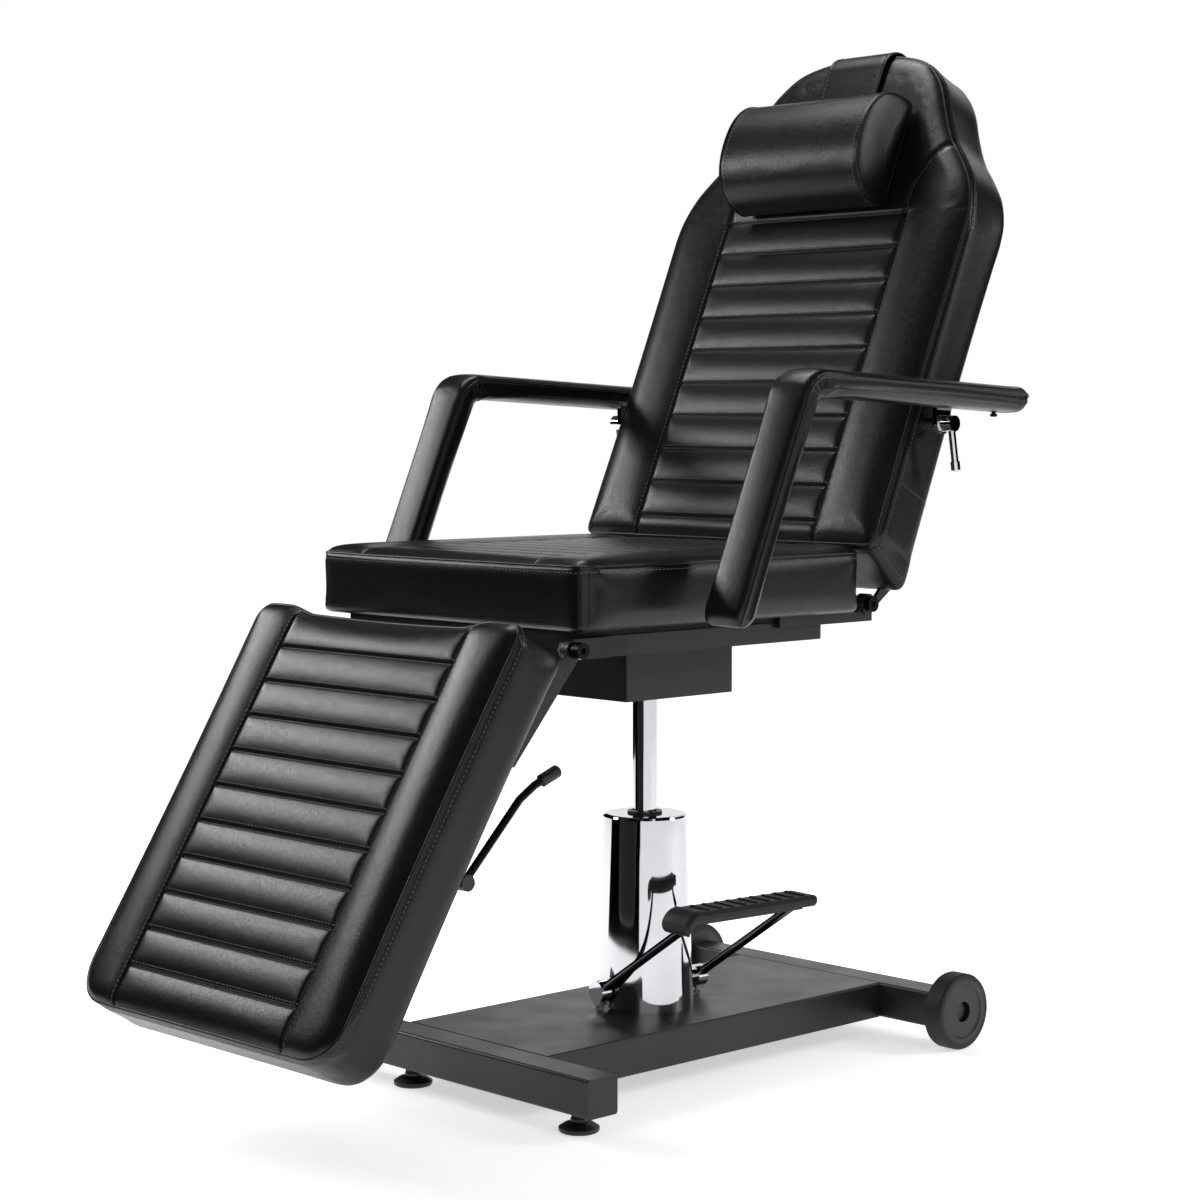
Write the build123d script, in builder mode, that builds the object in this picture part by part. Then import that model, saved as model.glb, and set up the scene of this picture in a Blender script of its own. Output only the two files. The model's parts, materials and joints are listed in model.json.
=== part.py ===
from build123d import *
from math import cos, radians, sin, sqrt, tan
import os

os.makedirs("parts", exist_ok=True)

# Tattoo chair: hydraulic base, swivelling seat, hinged backrest and leg rest.
# The sitter faces -Y, so the sitter's left is +X. Heights are above the floor.
# Reaches are distances in Y from the axis of the pump.

# Values that many pieces share
pump_y = 112            # places the pump so that the whole chair is centred in Y
overrun = 5             # how far a cut runs past the face that it opens
soft_gap = 0.3          # upholstery stays this far from pieces of other bodies
running_gap = 0.05      # radial clearance of a turning or sliding fit
round_share = 0.3       # where a rounded edge's middle lies between its corner and its ends
side_gap = 0.4          # sideways clearance between two hinge plates
sides = {"left": 1, "right": -1}

# Base frame of square tube with a folded plate between the beams
tube = 50
tube_wall = 3
tube_corner = 4
ground_gap = 29
beam_top = ground_gap + tube
plate_width = 278
plate_front_reach = 309
plate_rear_reach = 340
plate_wall = 3
plate_corner = 4
front_beam_length = 532
rear_beam_length = 482
cap_thickness = 3
cap_depth = 12
axle_block_depth = 44

# Wheels on stub axles through the ends of the rear beam
wheel_radius = ground_gap + tube / 2
wheel_width = 31
wheel_gap = 2.5
tyre_thickness = 9
tyre_edge = 4
hub_recess_radius = 14.5
hub_recess_depth = 12
hub_web_recess = 1.5
hub_rim_radius = 38
axle_radius = 8
axle_head_radius = 12
axle_head_thickness = 4

# Levelling feet under the front beam
foot_places = {"left": 214, "right": -112}
foot_behind_plate = 17
foot_radius = 26
foot_neck_radius = 11
foot_rim = 6
foot_dome = 7
foot_neck = 4
foot_stud_radius = 6
foot_collar = 5
foot_collar_radius = 10
foot_stud_inside = 34
foot_nut_height = 9
foot_nut_radius = 11

# Hydraulic pump, its chrome cover and the piston
cover_height = 268
cover_foot_radius = 68
cover_top_radius = 58
cover_wall = 2
cover_cap = 3
cover_edge = 4
pump_radius = 46
pump_flange_radius = 60
pump_flange = 10
pump_neck_radius = 30
pump_neck = 24
pump_floor = 51
pump_bolt_circle = 106
pump_bolt_radius = 5
pump_bolt_head = 8
pump_bolt_head_radius = 7
pump_bolt_count = 4
pump_bolt_turn = 45
seal_radius = 24
seal_depth = 6
seal_proud = 3
piston_radius = 17
piston_foot = 163
piston_into_hub = 59
collar_radius = 24
collar_height = 13
collar_gap = 0.5
piston_edge = 2

# Foot pedal on a cross shaft through the foot of the pump
shaft_height = 27
shaft_radius = 8
shaft_turn = 5
shaft_hole_radius = 12
clamp_front = 79
clamp_rear = 96
clamp_width = 17
clamp_radius = 15
clamp_set_screw_radius = 3
clamp_set_screw = 6
clamp_screw_head_radius = 5
clamp_screw_head = 5
pedal_reach = 197
pedal_rise = 126
pedal_rod_radius = 6
pedal_plate_thickness = 4
pedal_plate_width = 30
pedal_pad_width = 56
pedal_pad_thickness = 15
pedal_pad_front = 90
pedal_pad_rear = 122
pedal_pad_edge = 5
pedal_pad_droop = 16
pedal_rib_count = 9
pedal_rib_width = 5
pedal_rib_height = 2

# Mechanism box, hub and the frame under the seat
box_width = 244
box_front_reach = 154
box_rear_reach = 48
box_height = 79
box_bottom = 521
box_wall = 3
box_hole_radius = 30
hub_radius = 34
hub_plate = 8
hub_plate_margin = 4
rail_width = 26
rail_height = 26
rail_wall = 2.5
rail_half_spread = 226
rail_drop = 4           # how far the rails hang below the top of the mechanism box
rail_front_inset = 25
rail_rear_reach = 110
cross_width = 40
cross_wall = 2.5
cross_front_reach = 120
cross_rear_reach = 12
board_thickness = 8
seat_board_half_width = 224
seat_board_margin = 14

# Seat cushion
seat_width = 526
seat_front_reach = 365
seat_rear_reach = 158
seat_thickness = 88
seat_corner = 22
seat_front_band = 60

# Backrest cushion, lean measured from the floor
back_lean = 66.5
back_width = 568
back_length = 763
back_thickness = 92
back_board = 15
back_board_margin = 34
back_first_seam = 26
back_last_seam = 496
back_roll_count = 9
back_bevel = 34
back_bevel_depth = 76
back_foot_overhang = 4
back_heel = 18

# Leg rest cushion, slope measured from the floor
leg_slope = 58.3
leg_width = 526
leg_length = 577
leg_thickness = 86
leg_board = 12
leg_board_margin = 28
leg_board_draw = 0.1
leg_first_seam = 66
leg_roll_pitch = 50.3
leg_roll_count = 9
leg_foot_corner = 56
leg_head_corner = 26

# Form that the three cushions share
seam_half_spread = 172
crown = 6               # height of the bolsters and rolls above the edge piping
seam_depth = 9          # how far a sewn channel lies below the crown
side_draw = 3           # how far a side pulls in between its corners
edge_levels = ((0, 8), (8, 1), (0.5, 3), (-14, 0), (-5, 2), (0, 7), (3.5, 14), (6, 26))

# Hinge between seat and backrest
back_hinge_behind_seat = 34
back_hinge_above_board = 10
back_hinge_drop = 24        # how much less the backrest's foot rises than the seat is thick
back_hinge_inset = 18.4     # how far the pins lie ahead of the backrest's rear face
back_ear_thickness = 8
back_ear_radius = 14
back_ear_front_reach = 20
back_ear_overlap = 6
back_arm_thickness = 6
back_arm_depth = 24
back_arm_length = 160
back_arm_flange = 30
back_arm_flange_thickness = 4

# Hinge between seat and leg rest
leg_hinge_ahead = 16        # how far the pins lie ahead of the rails
leg_hinge_above = 17.7      # how far the pins lie past the cushion's top edge
leg_hinge_behind = 26.5     # how far the pins lie behind the cushion's rear face
leg_ear_thickness = 6
leg_ear_radius = 13
leg_ear_length = 66
leg_arm_thickness = 6
leg_arm_length = 150
leg_arm_flange = 30
leg_arm_flange_thickness = 4
hinge_pin_radius = 6
hinge_pin_head_radius = 10.5
hinge_pin_head = 9
hinge_nut = 8
leg_hinge_pin_head = 16
hinge_key_radius = 4
hinge_key_depth = 5

# Release lever behind the leg rest
lever_side_inset = 35
lever_pivot_down = 300
lever_pivot_behind = 22
lever_radius = 5
lever_hub_radius = 10
lever_hub_width = 12
lever_pin_radius = 5
lever_bend_down = 176
lever_bend_behind = 50
lever_knee_down = 150
lever_knee_behind = 63
lever_tip_down = 120
lever_tip_behind = 86
lever_grip_radius = 8
lever_grip_share = 0.25
lever_grip_end = 4
lever_bend_radius = 12
lever_bracket_width = 26
lever_bracket_length = 60
lever_bracket_thickness = 4

# Armrests, placed from the stud that each one turns on
arm_gap = 15                # between the backrest's side and the armrest
arm_width = 67
arm_thickness = 42
arm_foot_ahead = 439
arm_foot_below = 232
arm_elbow_ahead = 316
arm_elbow_above = 54
arm_end_behind = 102
arm_end_above = 33
arm_bend = 35
arm_edge = 12
arm_core_width = 26
arm_core_thickness = 12
arm_core_bend = 30
arm_core_margin = 26

# Clamp that holds each armrest on a stud in the side of the backrest
stud_along = 189.5          # up the backrest from its foot
stud_behind = 39.7          # behind the backrest's face
stud_radius = 7
stud_flange_radius = 20
stud_flange = 8
arm_ear_thickness = 8
arm_ear_radius = 14
arm_ear_inset = 5
arm_ear_width = 30
arm_tab = 5
arm_tab_overlap = 2
arm_screw_inset = 19
arm_screw_length = 24
arm_screw_radius = 3
arm_screw_head_radius = 5
arm_screw_head = 4
clamp_boss = 5
clamp_spindle_radius = 5
clamp_spindle = 10
handle_hub_radius = 11
handle_hub_width = 14
handle_radius = 5
handle_length = 66
handle_lean = 10
handle_tip_radius = 6.5
handle_tip = 14

# Head pillow and its strap
pillow_length = 268
pillow_height = 166
pillow_depth = 88
pillow_bottom = 499
pillow_side = 14
pillow_corner = 8
pillow_end = 10
strap_width = 112
strap_thickness = 2.5
strap_start = 560
strap_over = 6
strap_bend = 14
strap_tail = 560

# Places that follow from the sizes
foot_reach = plate_front_reach + foot_behind_plate
box_top = box_bottom + box_height
rail_bottom = box_top - rail_drop
rail_top = rail_bottom + rail_height
rail_front_reach = seat_front_reach - rail_front_inset
cross_height = rail_height - rail_drop
seat_bottom = rail_top + board_thickness
back_hinge_reach = seat_rear_reach + back_hinge_behind_seat
back_hinge_height = seat_bottom + back_hinge_above_board
back_ear_bottom = rail_top - back_ear_overlap
leg_hinge_reach = rail_front_reach + leg_hinge_ahead
leg_hinge_height = rail_bottom + rail_height / 2
leg_ear_rear_reach = leg_hinge_reach - leg_ear_length
lever_x = leg_width / 2 - lever_side_inset
arm_inner_half_spread = back_width / 2 + arm_gap


def cushion_plane(reach, height, slope, along, up):
    """The plane of a cushion's face, set along and up from a hinge: local X across, local Y along."""
    plane = Plane(
        origin=(0, pump_y + reach, height),
        x_dir=(1, 0, 0),
        z_dir=(0, -sin(radians(slope)), cos(radians(slope))),
    )
    return Plane(origin=plane.from_local_coords(Vector(0, along, up)), x_dir=plane.x_dir, z_dir=plane.z_dir)


seat_plane = Plane.XY.offset(seat_bottom + seat_thickness)
back_plane = cushion_plane(
    back_hinge_reach,
    back_hinge_height,
    back_lean,
    seat_thickness - back_hinge_drop,
    back_thickness - back_hinge_inset,
)
leg_plane = cushion_plane(
    -leg_hinge_reach, leg_hinge_height, leg_slope, -leg_hinge_above, leg_thickness + leg_hinge_behind
)
stud_place = back_plane.from_local_coords(Vector(0, stud_along, -stud_behind))
clamp_hole = (stud_place.Y, stud_place.Z)


def save(piece, name):
    """Labels a finished piece and writes its file."""
    piece.part.label = name
    export_step(piece.part, f"parts/{name}.step")


def rounded_corner(before, corner, after, size):
    """Three points that round a corner of a profile by a given size."""
    start = corner + (before - corner).normalized() * size
    end = corner + (after - corner).normalized() * size
    return [start, corner + (start + end - corner * 2) * round_share, end]


def side_profile(plane, x=0):
    """The plane of a cushion's side view: its length is local X, its height local Y."""
    return Plane(origin=plane.origin + plane.x_dir * x, x_dir=plane.y_dir, z_dir=plane.x_dir)


def in_side_view(plane, reach, height):
    """Where a point of the chair's side view lies along and above a cushion's plane."""
    local = plane.to_local_coords(Vector(0, pump_y + reach, height))
    return local.Y, local.Z


# Base frame
with BuildPart() as base_plate:
    plate_middle = pump_y + (plate_rear_reach - plate_front_reach) / 2
    plate_length = plate_front_reach + plate_rear_reach
    with BuildSketch(Plane.XY.offset(ground_gap)):
        with Locations((0, plate_middle)):
            Rectangle(plate_width, plate_length)
    extrude(amount=tube)
    fillet(base_plate.edges().filter_by(Axis.Y).group_by(Axis.Z)[-1], plate_corner)
    with BuildSketch(Plane.XY.offset(ground_gap)):
        with Locations((0, plate_middle)):
            Rectangle(plate_width - 2 * plate_wall, plate_length + 2 * overrun)
    extrude(amount=tube - plate_wall, mode=Mode.SUBTRACT)
    with BuildSketch(Plane.XY.offset(beam_top)):
        with Locations((0, pump_y)):
            with PolarLocations(pump_bolt_circle / 2, pump_bolt_count, pump_bolt_turn):
                Circle(pump_bolt_radius + running_gap)
    extrude(amount=-tube, mode=Mode.SUBTRACT)
save(base_plate, "base_plate")


def beam(reach, length):
    """A length of square tube across the chair, its middle at a distance from the pump."""
    with BuildPart() as piece:
        with BuildSketch(Plane.YZ):
            with Locations((pump_y + reach, ground_gap + tube / 2)):
                RectangleRounded(tube, tube, tube_corner)
                RectangleRounded(
                    tube - 2 * tube_wall, tube - 2 * tube_wall, tube_corner / 2, mode=Mode.SUBTRACT
                )
        extrude(amount=length / 2 - cap_thickness, both=True)
    return piece


front_beam_reach = -plate_front_reach - tube / 2
rear_beam_reach = plate_rear_reach + tube / 2
with BuildPart() as front_beam:
    add(beam(front_beam_reach, front_beam_length).part)
    with BuildSketch(Plane.XY.offset(ground_gap)):
        with Locations(*[(x, pump_y - foot_reach) for x in foot_places.values()]):
            Circle(foot_stud_radius + running_gap)
    extrude(amount=tube_wall, mode=Mode.SUBTRACT)
    with BuildSketch(Plane.XY.offset(ground_gap + tube_wall)):
        with Locations(*[(x, pump_y - foot_reach) for x in foot_places.values()]):
            RegularPolygon(foot_nut_radius, 6)
            Circle(foot_stud_radius + running_gap, mode=Mode.SUBTRACT)
    extrude(amount=foot_nut_height)
save(front_beam, "front_beam")
rear_beam = beam(rear_beam_reach, rear_beam_length)
save(rear_beam, "rear_beam")

with BuildPart() as beam_end_caps:
    for side in sides.values():
        front_end = Plane.YZ.offset(side * front_beam_length / 2)
        rear_end = Plane.YZ.offset(side * rear_beam_length / 2)
        for end, reach, depth in (
            (front_end, front_beam_reach, cap_depth),
            (rear_end, rear_beam_reach, axle_block_depth),
        ):
            with BuildSketch(end):
                with Locations((pump_y + reach, ground_gap + tube / 2)):
                    RectangleRounded(tube, tube, tube_corner)
            extrude(amount=-side * cap_thickness)
            with BuildSketch(end):
                with Locations((pump_y + reach, ground_gap + tube / 2)):
                    RectangleRounded(
                        tube - 2 * tube_wall - running_gap,
                        tube - 2 * tube_wall - running_gap,
                        tube_corner / 2,
                    )
            extrude(amount=-side * depth)
        with BuildSketch(rear_end):
            with Locations((pump_y + rear_beam_reach, wheel_radius)):
                Circle(axle_radius + running_gap)
        extrude(amount=-side * (axle_block_depth + overrun), mode=Mode.SUBTRACT)
save(beam_end_caps, "beam_end_caps")

# Feet
foot_height = foot_rim + foot_dome + foot_neck
for name, x in foot_places.items():
    with BuildPart() as foot_pad:
        with BuildSketch(Plane(origin=(x, pump_y - foot_reach, 0), x_dir=(1, 0, 0), z_dir=(0, -1, 0))):
            with BuildLine():
                Polyline((0, 0), (foot_radius - foot_rim / 3, 0), (foot_radius, foot_rim / 3))
                Line((foot_radius, foot_rim / 3), (foot_radius, foot_rim))
                Polyline(
                    (foot_radius, foot_rim),
                    ((foot_radius + foot_neck_radius) / 2, foot_rim + foot_dome * (1 - round_share)),
                    (foot_neck_radius, foot_rim + foot_dome),
                )
                Polyline(
                    (foot_neck_radius, foot_rim + foot_dome),
                    (foot_neck_radius, foot_height),
                    (foot_stud_radius, foot_height),
                    (foot_stud_radius, foot_rim),
                    (0, foot_rim),
                    (0, 0),
                )
            make_face()
        revolve(axis=Axis((x, pump_y - foot_reach, 0), (0, 0, 1)))
    save(foot_pad, f"{name}_foot_pad")
    with BuildPart() as foot_stud:
        with BuildSketch(Plane.XY.offset(foot_rim)):
            with Locations((x, pump_y - foot_reach)):
                Circle(foot_stud_radius)
        extrude(amount=ground_gap + foot_stud_inside - foot_rim)
        with BuildSketch(Plane.XY.offset(foot_height)):
            with Locations((x, pump_y - foot_reach)):
                RegularPolygon(foot_collar_radius, 6)
        extrude(amount=foot_collar)
    save(foot_stud, f"{name}_foot_stud")

# Wheels and their axles
axle_y = pump_y + rear_beam_reach
wheel_inner = rear_beam_length / 2 + wheel_gap
wheel_outer = wheel_inner + wheel_width
recess_floor = wheel_outer - hub_recess_depth
tyre_radius = wheel_radius - tyre_thickness

with BuildPart() as wheel_axles:
    for side in sides.values():
        with BuildSketch(Plane.YZ.offset(side * (rear_beam_length / 2 - axle_block_depth))):
            with Locations((axle_y, wheel_radius)):
                Circle(axle_radius)
        extrude(amount=side * (axle_block_depth + recess_floor + running_gap - rear_beam_length / 2))
        with BuildSketch(Plane.YZ.offset(side * (recess_floor + running_gap))):
            with Locations((axle_y, wheel_radius)):
                Circle(axle_head_radius)
        extrude(amount=side * axle_head_thickness)
        with BuildSketch(Plane.YZ.offset(side * (wheel_inner - running_gap))):
            with Locations((axle_y, wheel_radius)):
                Circle(axle_head_radius)
                Circle(axle_radius, mode=Mode.SUBTRACT)
        extrude(amount=side * (rear_beam_length / 2 - wheel_inner + running_gap))
save(wheel_axles, "wheel_axles")

for name, side in sides.items():
    wheel_plane = Plane(origin=(0, axle_y, wheel_radius), x_dir=(0, 1, 0), z_dir=(0, 0, 1))
    wheel_axis = Axis((0, axle_y, wheel_radius), (1, 0, 0))
    inner = -side * wheel_inner
    outer = -side * wheel_outer
    floor = -side * recess_floor
    web = -side * (wheel_outer - hub_web_recess)
    with BuildPart() as wheel_hub:
        with BuildSketch(wheel_plane):
            with BuildLine():
                Polyline(
                    (axle_radius + running_gap, inner),
                    (tyre_radius, inner),
                    (tyre_radius, outer),
                    (hub_rim_radius, outer),
                    (hub_rim_radius - hub_web_recess, web),
                    (hub_recess_radius, web),
                    (hub_recess_radius, floor),
                    (axle_radius + running_gap, floor),
                    close=True,
                )
            make_face()
        revolve(axis=wheel_axis)
    save(wheel_hub, f"{name}_wheel_hub")
    with BuildPart() as tyre:
        corners = [
            Vector(tyre_radius, inner),
            Vector(wheel_radius, inner),
            Vector(wheel_radius, outer),
            Vector(tyre_radius, outer),
        ]
        with BuildSketch(wheel_plane):
            with BuildLine():
                Polyline(
                    corners[0],
                    *rounded_corner(corners[0], corners[1], corners[2], tyre_edge),
                    *rounded_corner(corners[1], corners[2], corners[3], tyre_edge),
                    corners[3],
                    close=True,
                )
            make_face()
        revolve(axis=wheel_axis)
    save(tyre, f"{name}_tyre")

# Pump
pump_top = beam_top + cover_height - cover_cap
shaft_z = beam_top + shaft_height
shaft_along = Vector(sin(radians(shaft_turn)), cos(radians(shaft_turn)), 0)
pedal_out = Vector(cos(radians(shaft_turn)), -sin(radians(shaft_turn)), 0)


def shaft_section(along):
    """A plane square to the pedal shaft: local X points out to the pedal, local Y up."""
    return Plane(
        origin=Vector(0, pump_y, shaft_z) + shaft_along * along, x_dir=pedal_out, z_dir=-shaft_along
    )


with BuildPart() as pump_body:
    with BuildSketch(Plane(origin=(0, pump_y, 0), x_dir=(1, 0, 0), z_dir=(0, -1, 0))):
        with BuildLine():
            Polyline(
                (0, beam_top),
                (pump_flange_radius, beam_top),
                (pump_flange_radius, beam_top + pump_flange),
                (pump_radius, beam_top + pump_flange),
                (pump_radius, pump_top - pump_neck),
                (pump_neck_radius, pump_top - pump_neck),
                (pump_neck_radius, pump_top),
                (seal_radius, pump_top),
                (seal_radius, pump_top - seal_depth),
                (piston_radius + running_gap, pump_top - seal_depth),
                (piston_radius + running_gap, beam_top + pump_floor),
                (0, beam_top + pump_floor),
                close=True,
            )
        make_face()
    revolve(axis=Axis((0, pump_y, 0), (0, 0, 1)))
    with BuildSketch(shaft_section(-pump_flange_radius)):
        Circle(shaft_radius + running_gap)
    extrude(amount=-2 * pump_flange_radius, mode=Mode.SUBTRACT)
    with BuildSketch(Plane.XY.offset(beam_top)):
        with Locations((0, pump_y)):
            with PolarLocations(pump_bolt_circle / 2, pump_bolt_count, pump_bolt_turn):
                Circle(pump_bolt_radius + running_gap)
    extrude(amount=pump_flange, mode=Mode.SUBTRACT)
save(pump_body, "pump_body")

with BuildPart() as pump_seal:
    with BuildSketch(Plane.XY.offset(pump_top - seal_depth)):
        with Locations((0, pump_y)):
            Circle(seal_radius)
            Circle(piston_radius + running_gap, mode=Mode.SUBTRACT)
    extrude(amount=seal_depth + cover_cap + seal_proud)
save(pump_seal, "pump_seal")

with BuildPart() as pump_cover:
    cover_foot = Vector(cover_foot_radius, 0)
    cover_rim = Vector(cover_top_radius, cover_height)
    cover_hole = Vector(seal_radius + soft_gap, cover_height)
    with BuildSketch(Plane(origin=(0, pump_y, beam_top), x_dir=(1, 0, 0), z_dir=(0, -1, 0))):
        with BuildLine():
            Polyline(
                cover_foot,
                *rounded_corner(cover_foot, cover_rim, cover_hole, cover_edge),
                cover_hole,
                (cover_hole.X, cover_height - cover_cap),
                (cover_top_radius - cover_wall - cover_edge, cover_height - cover_cap),
                (cover_top_radius - cover_wall, cover_height - cover_cap - cover_edge),
                (cover_foot_radius - cover_wall, 0),
                close=True,
            )
        make_face()
    revolve(axis=Axis((0, pump_y, 0), (0, 0, 1)))
    with BuildSketch(shaft_section(-cover_foot_radius)):
        Circle(shaft_hole_radius)
    extrude(amount=-2 * cover_foot_radius, mode=Mode.SUBTRACT)
save(pump_cover, "pump_cover")

with BuildPart() as pump_bolts:
    with BuildSketch(Plane.XY.offset(beam_top + pump_flange)):
        with Locations((0, pump_y)):
            with PolarLocations(pump_bolt_circle / 2, pump_bolt_count, pump_bolt_turn):
                Circle(pump_bolt_radius)
    extrude(amount=-(pump_flange + plate_wall + pump_bolt_head))
    for face_height in (beam_top + pump_flange, beam_top - plate_wall - pump_bolt_head):
        with BuildSketch(Plane.XY.offset(face_height)):
            with Locations((0, pump_y)):
                with PolarLocations(pump_bolt_circle / 2, pump_bolt_count, pump_bolt_turn):
                    RegularPolygon(pump_bolt_head_radius, 6)
        extrude(amount=pump_bolt_head)
save(pump_bolts, "pump_bolts")

# Piston
with BuildPart() as piston_rod:
    with BuildSketch(Plane.XY.offset(beam_top + piston_foot)):
        with Locations((0, pump_y)):
            Circle(piston_radius)
    extrude(amount=box_bottom + piston_into_hub - beam_top - piston_foot)
    chamfer(piston_rod.edges().group_by(Axis.Z)[-1], piston_edge)
save(piston_rod, "piston_rod")

with BuildPart() as piston_collar:
    with BuildSketch(Plane.XY.offset(box_bottom - collar_gap)):
        with Locations((0, pump_y)):
            Circle(collar_radius)
            Circle(piston_radius, mode=Mode.SUBTRACT)
    extrude(amount=-collar_height)
    chamfer(piston_collar.edges().group_by(Axis.Z)[0].sort_by(SortBy.RADIUS)[-1], piston_edge)
save(piston_collar, "piston_collar")

# Foot pedal
clamp_places = (-clamp_front, clamp_rear)
with BuildPart() as pedal_shaft:
    with BuildSketch(shaft_section(-clamp_front - clamp_width / 2)):
        Circle(shaft_radius)
    extrude(amount=-(clamp_front + clamp_rear + clamp_width))
save(pedal_shaft, "pedal_shaft")

with BuildPart() as pedal_clamps:
    for place in clamp_places:
        with BuildSketch(shaft_section(place)):
            Circle(clamp_radius)
        extrude(amount=clamp_width / 2, both=True)
        with BuildSketch(shaft_section(place)):
            with Locations((0, -clamp_radius)):
                Rectangle(clamp_radius, clamp_set_screw)
        extrude(amount=clamp_width / 2 - clamp_set_screw_radius / 2, both=True)
        with BuildSketch(shaft_section(place)):
            Circle(shaft_radius)
        extrude(amount=clamp_width, both=True, mode=Mode.SUBTRACT)
save(pedal_clamps, "pedal_clamps")

plate_under = pedal_rise - pedal_plate_thickness / 2
rod_start_share = clamp_radius / sqrt(pedal_reach**2 + pedal_rise**2)
with BuildPart() as pedal_rods:
    for place in clamp_places:
        section = shaft_section(place)
        start = section.from_local_coords(
            Vector(pedal_reach * rod_start_share, pedal_rise * rod_start_share, 0)
        )
        end = section.from_local_coords(Vector(pedal_reach, pedal_rise, 0))
        with BuildSketch(Plane(origin=start, x_dir=shaft_along, z_dir=end - start)):
            Circle(pedal_rod_radius)
        extrude(amount=(end - start).length)
    with BuildSketch(shaft_section(-clamp_front - clamp_radius)):
        with Locations((pedal_reach, plate_under + pedal_rod_radius)):
            Rectangle(overrun + pedal_plate_width, 2 * pedal_rod_radius)
    extrude(amount=-(clamp_front + clamp_rear + 2 * clamp_radius), mode=Mode.SUBTRACT)
save(pedal_rods, "pedal_rods")

with BuildPart() as pedal_clamp_screws:
    for place in clamp_places:
        section = shaft_section(place)
        foot = section.from_local_coords(Vector(0, -clamp_radius - clamp_set_screw / 2, 0))
        with BuildSketch(Plane(origin=foot, z_dir=(0, 0, -1))):
            Circle(clamp_set_screw_radius)
        extrude(amount=clamp_screw_head)
        with BuildSketch(Plane(origin=foot, z_dir=(0, 0, -1)).offset(clamp_screw_head / 2)):
            RegularPolygon(clamp_screw_head_radius, 6)
        extrude(amount=clamp_screw_head)
save(pedal_clamp_screws, "pedal_clamp_screws")

with BuildPart() as pedal_plate:
    with BuildSketch(shaft_section(-clamp_front - pedal_rod_radius)):
        with Locations((pedal_reach, plate_under + pedal_plate_thickness / 2)):
            Rectangle(pedal_plate_width, pedal_plate_thickness)
    extrude(amount=-(clamp_front + clamp_rear + 2 * pedal_rod_radius))
save(pedal_plate, "pedal_plate")

pad_under = plate_under + pedal_plate_thickness
pad_top = pad_under + pedal_pad_thickness
with BuildPart() as pedal_pad:
    pad_side = Plane(
        origin=Vector(0, pump_y, shaft_z) + pedal_out * pedal_reach,
        x_dir=shaft_along,
        z_dir=pedal_out,
    )
    with BuildSketch(pad_side):
        with BuildLine():
            Line((pedal_pad_rear - pedal_pad_thickness / 2, pad_under), (-pedal_pad_front, pad_under))
            ThreePointArc(
                (-pedal_pad_front, pad_under),
                (-pedal_pad_front - pedal_pad_droop / 2, pad_under - pedal_pad_droop / 4),
                (-pedal_pad_front - pedal_pad_droop, pad_under - pedal_pad_droop),
            )
            ThreePointArc(
                (-pedal_pad_front - pedal_pad_droop, pad_under - pedal_pad_droop),
                (-pedal_pad_front - 1.5 * pedal_pad_droop, pad_under - pedal_pad_droop / 2),
                (-pedal_pad_front - 1.5 * pedal_pad_droop, pad_under),
            )
            ThreePointArc(
                (-pedal_pad_front - 1.5 * pedal_pad_droop, pad_under),
                (-pedal_pad_front - pedal_pad_droop, pad_under + 0.7 * pedal_pad_thickness),
                (-pedal_pad_front + pedal_pad_droop / 2, pad_top),
            )
            Line(
                (-pedal_pad_front + pedal_pad_droop / 2, pad_top),
                (pedal_pad_rear - pedal_pad_thickness / 2, pad_top),
            )
            ThreePointArc(
                (pedal_pad_rear - pedal_pad_thickness / 2, pad_top),
                (pedal_pad_rear, (pad_top + pad_under) / 2),
                (pedal_pad_rear - pedal_pad_thickness / 2, pad_under),
            )
        make_face()
    extrude(amount=pedal_pad_width / 2, both=True)
    pad_sides = pedal_pad.faces().sort_by(Axis.X)
    chamfer(pad_sides[0].edges() + pad_sides[-1].edges(), pedal_pad_edge)
    rib_pitch = (pedal_pad_rear + pedal_pad_front) / (pedal_rib_count + 1)
    for index in range(pedal_rib_count):
        rib_along = -pedal_pad_front + rib_pitch * (index + 1)
        with BuildSketch(shaft_section(rib_along)):
            with Locations((pedal_reach, pad_top)):
                Rectangle(pedal_pad_width - 4 * pedal_rib_width, 2 * pedal_rib_height)
        extrude(amount=pedal_rib_width / 2, both=True)
save(pedal_pad, "pedal_pad")

# Frame under the seat
with BuildPart() as mechanism_box:
    box_middle = pump_y + (box_rear_reach - box_front_reach) / 2
    box_length = box_front_reach + box_rear_reach
    with BuildSketch(Plane.XY.offset(box_bottom)):
        with Locations((0, box_middle)):
            RectangleRounded(box_width, box_length, box_wall)
    extrude(amount=box_height)
    with BuildSketch(Plane.XY.offset(box_bottom + box_wall)):
        with Locations((0, box_middle)):
            Rectangle(box_width - 2 * box_wall, box_length - 2 * box_wall)
    extrude(amount=box_height, mode=Mode.SUBTRACT)
    with BuildSketch(Plane.XY.offset(box_bottom)):
        with Locations((0, pump_y)):
            Circle(box_hole_radius)
    extrude(amount=box_wall, mode=Mode.SUBTRACT)
save(mechanism_box, "mechanism_box")

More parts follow.
